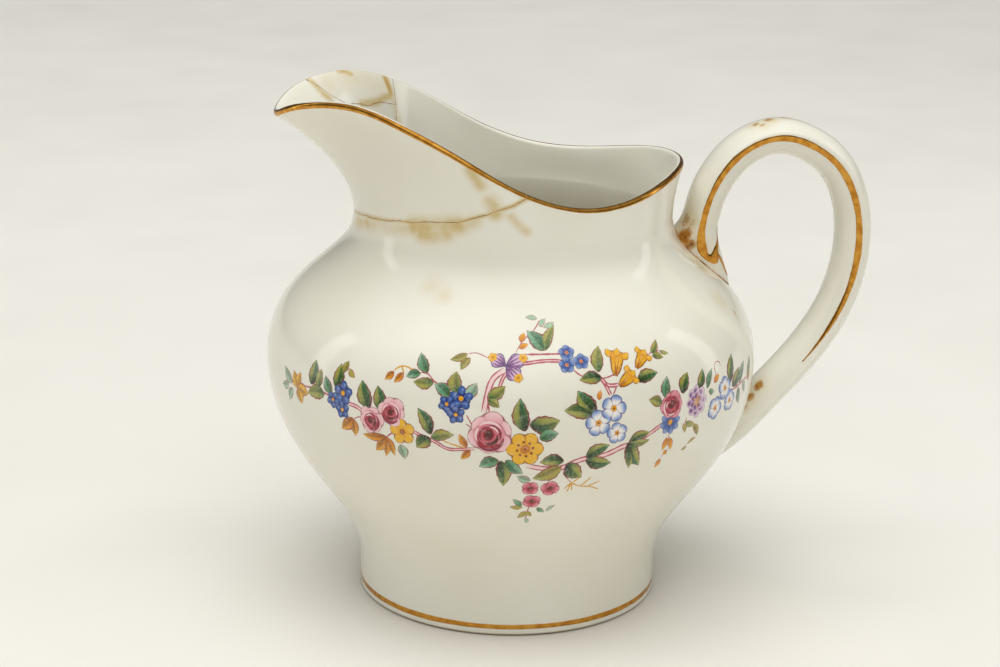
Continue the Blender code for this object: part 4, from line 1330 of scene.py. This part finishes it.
def paint_garland(side, turn, enamel):
    """The whole garland, one piece for each family of colours."""
    leaves, stems, roses, yellows, blues, purples = families = [
        Enamel(f"enamel_{family}_{side}", turn)
        for family in ("leaves", "stems", "roses", "yellows", "blues", "purples")]
    for i, (base, tip, width, tone) in enumerate(LEAVES):
        leaves.leaf(base, tip, width, tone, bend=0.07 * (-1) ** i)
    for places, width, apart in STEMS:
        if apart:
            stems.stroke(places, 0.8 * apart, PALE_PINK, lift=0.012)
        for shift in ((-apart / 2, apart / 2) if apart else (0,)):
            stems.stroke(places, 1.15 * width, SOFT_CRIMSON, shift=shift)
    for places in TWIGS:
        stems.stroke(places, 0.24, TWIG_GOLD, lift=0.022)
    for base, tip, width in BUDS:
        yellows.leaf(base, tip, width, "orange", bend=0.03)
    for flower in ROSES:
        rose(roses, *flower)
    rose(roses, *DEEP_ROSE, deep=True)
    for flower in ROSEBUDS:
        rosebud(roses, *flower)
    big_yellow(yellows, *GREAT_YELLOW)
    blossom(yellows, *SMALL_YELLOW, 5, 100, (ORANGE, YELLOW, YELLOW), (ORANGE, BROWN, ORANGE), edge=BROWN)
    for base, tone, petals in FANS:
        for tip, width in petals:
            yellows.leaf(base, tip, width, tone, lift=0.04)
    for flower in YELLOW_BELLS:
        tulip(yellows, *flower)
    for flowers in BLUE_CLUSTERS:
        blue_cluster(blues, flowers)
    for place in SMALL_BLUES:
        blossom(blues, place, SMALL_BLUE_SIZE, 5, 90, (NAVY, BLUE, SKY), (SOFT_CRIMSON, ORANGE), edge=NAVY)
    daisy(blues, *DAISY)
    for flower in FORGET_ME_NOTS:
        forget_me_not(blues, *flower)
    for mouth in PURPLE_BELL_MOUTHS:
        bell(purples, PURPLE_BELLS_BASE, mouth, PURPLE_BELL_WIDTH)
    peony(purples, *PEONY)
    for family in families:
        family.build(enamel)


# ---------------------------------------------------------------- studio

CAMERA_DISTANCE, CAMERA_HEIGHT = 420.0, 174.1  # from the turning axis, and above the table
CAMERA_SWING = 8.0  # degrees round the jug, towards the spout
CAMERA_PITCH, CAMERA_PAN, CAMERA_ROLL = 16.84, -0.268, 1.03
LENS, FILM_WIDTH = 88.2, 36

TABLE_HALF_WIDTH = 3.0  # m
LIGHT_AIM = (0, 0, 0.045)  # the middle of the jug, in metres
# Softboxes: name, place in metres, width, height, watts, colour, and whether the glaze mirrors it.
SOFT_BOXES = [
    ("soft_box_above", (-0.05, -0.10, 0.92), 1.0, 0.8, 4.6, (1.0, 0.992, 0.98), False),
    ("fill_front", (0.05, -0.75, 0.10), 0.8, 0.16, 0.35, (1.0, 0.985, 0.965), False),
    ("strip_left", (-0.55, 0.12, 0.20), 0.10, 0.45, 0.22, (1, 1, 1), True),
    ("strip_right", (0.55, 0.06, 0.24), 0.10, 0.45, 0.22, (1, 1, 1), True),
]
# The sky brightens towards one direction: cosines between which it does, and strengths there.
SKY_DIRECTION = (-0.05, -0.30, 0.95)
SKY_COLOUR = (1.0, 0.992, 0.975, 1)
SKY_LOBES = [(0.28, 1.0, 0.13, 0.80), (0.72, 1.0, 0.0, 0.6)]


def build_camera():
    swing, pan = math.radians(CAMERA_SWING), math.radians(CAMERA_PAN)
    pitch, roll = math.radians(CAMERA_PITCH), math.radians(CAMERA_ROLL)
    side = Vector((math.cos(swing), -math.sin(swing), 0))
    ahead = Vector((math.sin(swing), math.cos(swing), 0))
    level = math.sin(pan) * side + math.cos(pan) * ahead
    right = math.cos(pan) * side - math.sin(pan) * ahead
    forward = math.cos(pitch) * level - math.sin(pitch) * Vector((0, 0, 1))
    up = math.sin(pitch) * level + math.cos(pitch) * Vector((0, 0, 1))
    rolled_right = math.cos(roll) * right + math.sin(roll) * up
    rolled_up = -math.sin(roll) * right + math.cos(roll) * up
    camera = bpy.data.objects.new("camera", bpy.data.cameras.new("camera"))
    bpy.context.scene.collection.objects.link(camera)
    camera.data.lens = LENS
    camera.data.sensor_width = FILM_WIDTH
    place = (Vector((AXIS_X, 0, CAMERA_HEIGHT)) - CAMERA_DISTANCE * ahead) * MM
    turned = Matrix((rolled_right, rolled_up, -forward)).transposed().to_4x4()
    camera.matrix_world = Matrix.Translation(place) @ turned
    bpy.context.scene.camera = camera


def soft_box(name, place, width, height, power, colour, reflected):
    light = bpy.data.lights.new(name, "AREA")
    light.shape = "RECTANGLE"
    light.size, light.size_y = width, height
    light.energy = power
    light.color = colour
    lamp = bpy.data.objects.new(name, light)
    bpy.context.scene.collection.objects.link(lamp)
    lamp.location = place
    lamp.visible_glossy = reflected
    aim = Vector(LIGHT_AIM) - Vector(place)
    lamp.rotation_euler = aim.to_track_quat("-Z", "Y").to_euler()


def build_table():
    mesh = bpy.data.meshes.new("table")
    shape = bmesh.new()
    bmesh.ops.create_grid(shape, x_segments=24, y_segments=24, size=TABLE_HALF_WIDTH)
    shape.to_mesh(mesh)
    shape.free()
    mesh.materials.append(table_material())
    table = bpy.data.objects.new("table", mesh)
    bpy.context.scene.collection.objects.link(table)


def build_sky():
    """A pale room that is brightest overhead and a little to the front."""
    world = bpy.data.worlds.new("studio")
    bpy.context.scene.world = world
    world.use_nodes = True
    nodes, links = world.node_tree.nodes, world.node_tree.links
    direction = nodes.new("ShaderNodeTexCoord")
    towards_light = nodes.new("ShaderNodeVectorMath")
    towards_light.operation = "DOT_PRODUCT"
    towards_light.inputs[1].default_value = Vector(SKY_DIRECTION).normalized()
    links.new(direction.outputs["Generated"], towards_light.inputs[0])
    total = nodes.new("ShaderNodeMath")
    for i, numbers in enumerate(SKY_LOBES):
        lobe = nodes.new("ShaderNodeMapRange")
        lobe.interpolation_type = "SMOOTHSTEP"
        for place, number in enumerate(numbers, start=1):
            lobe.inputs[place].default_value = number
        links.new(towards_light.outputs["Value"], lobe.inputs[0])
        links.new(lobe.outputs[0], total.inputs[i])
    background = nodes["Background"]
    background.inputs["Color"].default_value = SKY_COLOUR
    links.new(total.outputs[0], background.inputs["Strength"])


def build_studio():
    build_table()
    for box in SOFT_BOXES:
        soft_box(*box)
    build_sky()
    bpy.context.scene.view_settings.view_transform = "Standard"


# ---------------------------------------------------------------- the jug


# Ochre that has seeped into the glaze: radius in mm, strength, and a trail of places, each its
# place along the lip and its height up the wall.
CRACK_ENDS, CRACK_PLACES, CRACK_FADES = (0.5, 0.77), 24, 4
IN_CRACK, BELOW_CRACK, BELOW_CRACK_BY = (0.45, 0.95), (1.4, 0.5), 0.05  # radius and strength
OUTER_STAINS = [
    (1.6, 1.0, [(0.655, 0.135), (0.668, 0.155), (0.684, 0.19), (0.705, 0.25)]),
    (1.5, 0.95, [(0.664, 0.09), (0.678, 0.11), (0.692, 0.15)]),
    (1.3, 0.8, [(0.53, 0.0), (0.55, 0.01), (0.575, 0.03)]),
    (1.1, 1.0, [(0.718, 0.94), (0.724, 0.88), (0.729, 0.82)]),
    (1.3, 1.0, [(0.738, 0.68), (0.741, 0.60), (0.742, 0.54)]),
    (0.8, 0.75, [(0.757, 0.56), (0.765, 0.46), (0.772, 0.36)]),
]
INNER_STAINS = [
    (0.8, 1.35, [(0.344, 1.0), (0.345, 0.92), (0.345, 0.82)]),
    (0.8, 1.0, [(0.345, 0.8), (0.36, 0.76), (0.375, 0.71), (0.40, 0.69)]),
    (0.7, 0.9, [(0.436, 0.99), (0.438, 0.9), (0.439, 0.82), (0.436, 0.78)]),
    (1.2, 0.65, [(0.344, 0.78), (0.343, 0.62), (0.343, 0.5)]),
    (0.6, 1.1, [(0.402, 0.98), (0.39, 0.95)]),
    (3.0, 0.3, [(0.36, 0.9), (0.42, 0.9)]),
]
# Faint clouds on the belly: direction in degrees, height, radius, strength.
BELLY_STAINS = [(-124, 63.5, 2.0, 0.35), (-119, 62.5, 2.0, 0.35), (-10, 61.0, 4.0, 0.5),
                (-25, 57.0, 3.0, 0.3)]
# Glue smeared on the handle: place, radius, strength. Then specks of it on the belly.
HANDLE_SMEARS = [
    ((29.8, -4.0, 65.8), 1.9, 1.25), ((30.4, -4.4, 68.0), 1.6, 1.15), ((29.6, -2.4, 68.4), 1.9, 1.1),
    ((31.0, -4.6, 64.2), 1.5, 1.15), ((28.6, -3.6, 67.2), 1.7, 1.0), ((29.6, -1.0, 70.5), 1.3, 0.8),
    ((42.8, -1.0, 85.0), 1.1, 0.9), ((45.2, -0.6, 85.4), 1.3, 0.95), ((48.2, 0.8, 85.7), 1.1, 0.9),
    ((43.8, -2.0, 84.8), 0.9, 0.85), ((44.9, -2.9, 37.2), 1.2, 1.4), ((43.4, -3.2, 35.2), 1.2, 1.2),
    ((42.6, -3.2, 33.4), 0.8, 0.95), ((41.8, -3.2, 31.8), 0.8, 0.8),
]
BELLY_SPECKS, SPECK_RADIUS, SPECK_STRENGTH = [(-22, 54.4), (-22.5, 53.6), (-18, 55.6)], 0.35, 1.2
UPPER_SEAM_SMEAR, LOWER_SEAM_SMEAR = (0.9, 0.62), (0.8, 0.5)  # radius, strength
HALO_REACH, HALO_STRENGTH, HALO_FROM = 1.5, 0.6, 0.8  # ochre round the stronger smears of glue


def outer_face(around, up):
    return wall_point(np.array([around]), up)[0]


def inner_face(around, up):
    return wall_inside(np.array([around]), np.array([up]))[0]


def belly_face(degrees, z):
    angle, radius = math.radians(degrees), body_radius(z)
    return radius * math.cos(angle), radius * math.sin(angle), z


def trail(face, radius, strength, places):
    """Marks close together along a line of (place along the lip, height up the wall)."""
    steps = np.linspace(0, len(places) - 1, 12 * len(places))
    at, up = (np.interp(steps, range(len(places)), values) for values in zip(*places))
    return [(face(a, u), radius, strength) for a, u in zip(at, up)]


def stains():
    """Where ochre has seeped into the glaze and where glue is smeared, in mm about the axis."""
    along = np.linspace(*CRACK_ENDS, CRACK_PLACES)
    crack = list(zip(along, break_height(SPOUT_BREAK, along)))
    below = [(t, height - BELOW_CRACK_BY) for t, height in crack[:-CRACK_FADES]]
    seeped = trail(outer_face, *IN_CRACK, crack)
    seeped += trail(outer_face, *BELOW_CRACK, below)
    for face, marks in ((outer_face, OUTER_STAINS), (inner_face, INNER_STAINS)):
        for radius, strength, places in marks:
            seeped += trail(face, radius, strength, places)
    seeped += [(belly_face(angle, z), radius, strength) for angle, z, radius, strength in BELLY_STAINS]
    glued = HANDLE_SMEARS + [(belly_face(angle, z), SPECK_RADIUS, SPECK_STRENGTH)
                             for angle, z in BELLY_SPECKS]
    glued += [(point, *UPPER_SEAM_SMEAR) for point in root_seam(True)[::2]]
    glued += [(point, *LOWER_SEAM_SMEAR) for point in root_seam(False)[::2]]
    halo = [(place, HALO_REACH * radius, HALO_STRENGTH)
            for place, radius, strength in glued if strength > HALO_FROM]
    return {"stain": seeped + halo, "glue": glued}


def main():
    build_camera()
    build_studio()
    china, gold, glue, enamel = (
        porcelain_material(), gold_material(), glue_material(), enamel_material())
    marks = stains()
    build_body(china, marks)
    build_fragments(china, marks)
    build_handle(china, marks)
    build_glue(glue)
    build_rim_gold(gold)
    build_foot_gold(gold)
    build_handle_gold(gold)
    paint_garland("front", 0, enamel)
    paint_garland("back", 180, enamel)


main()
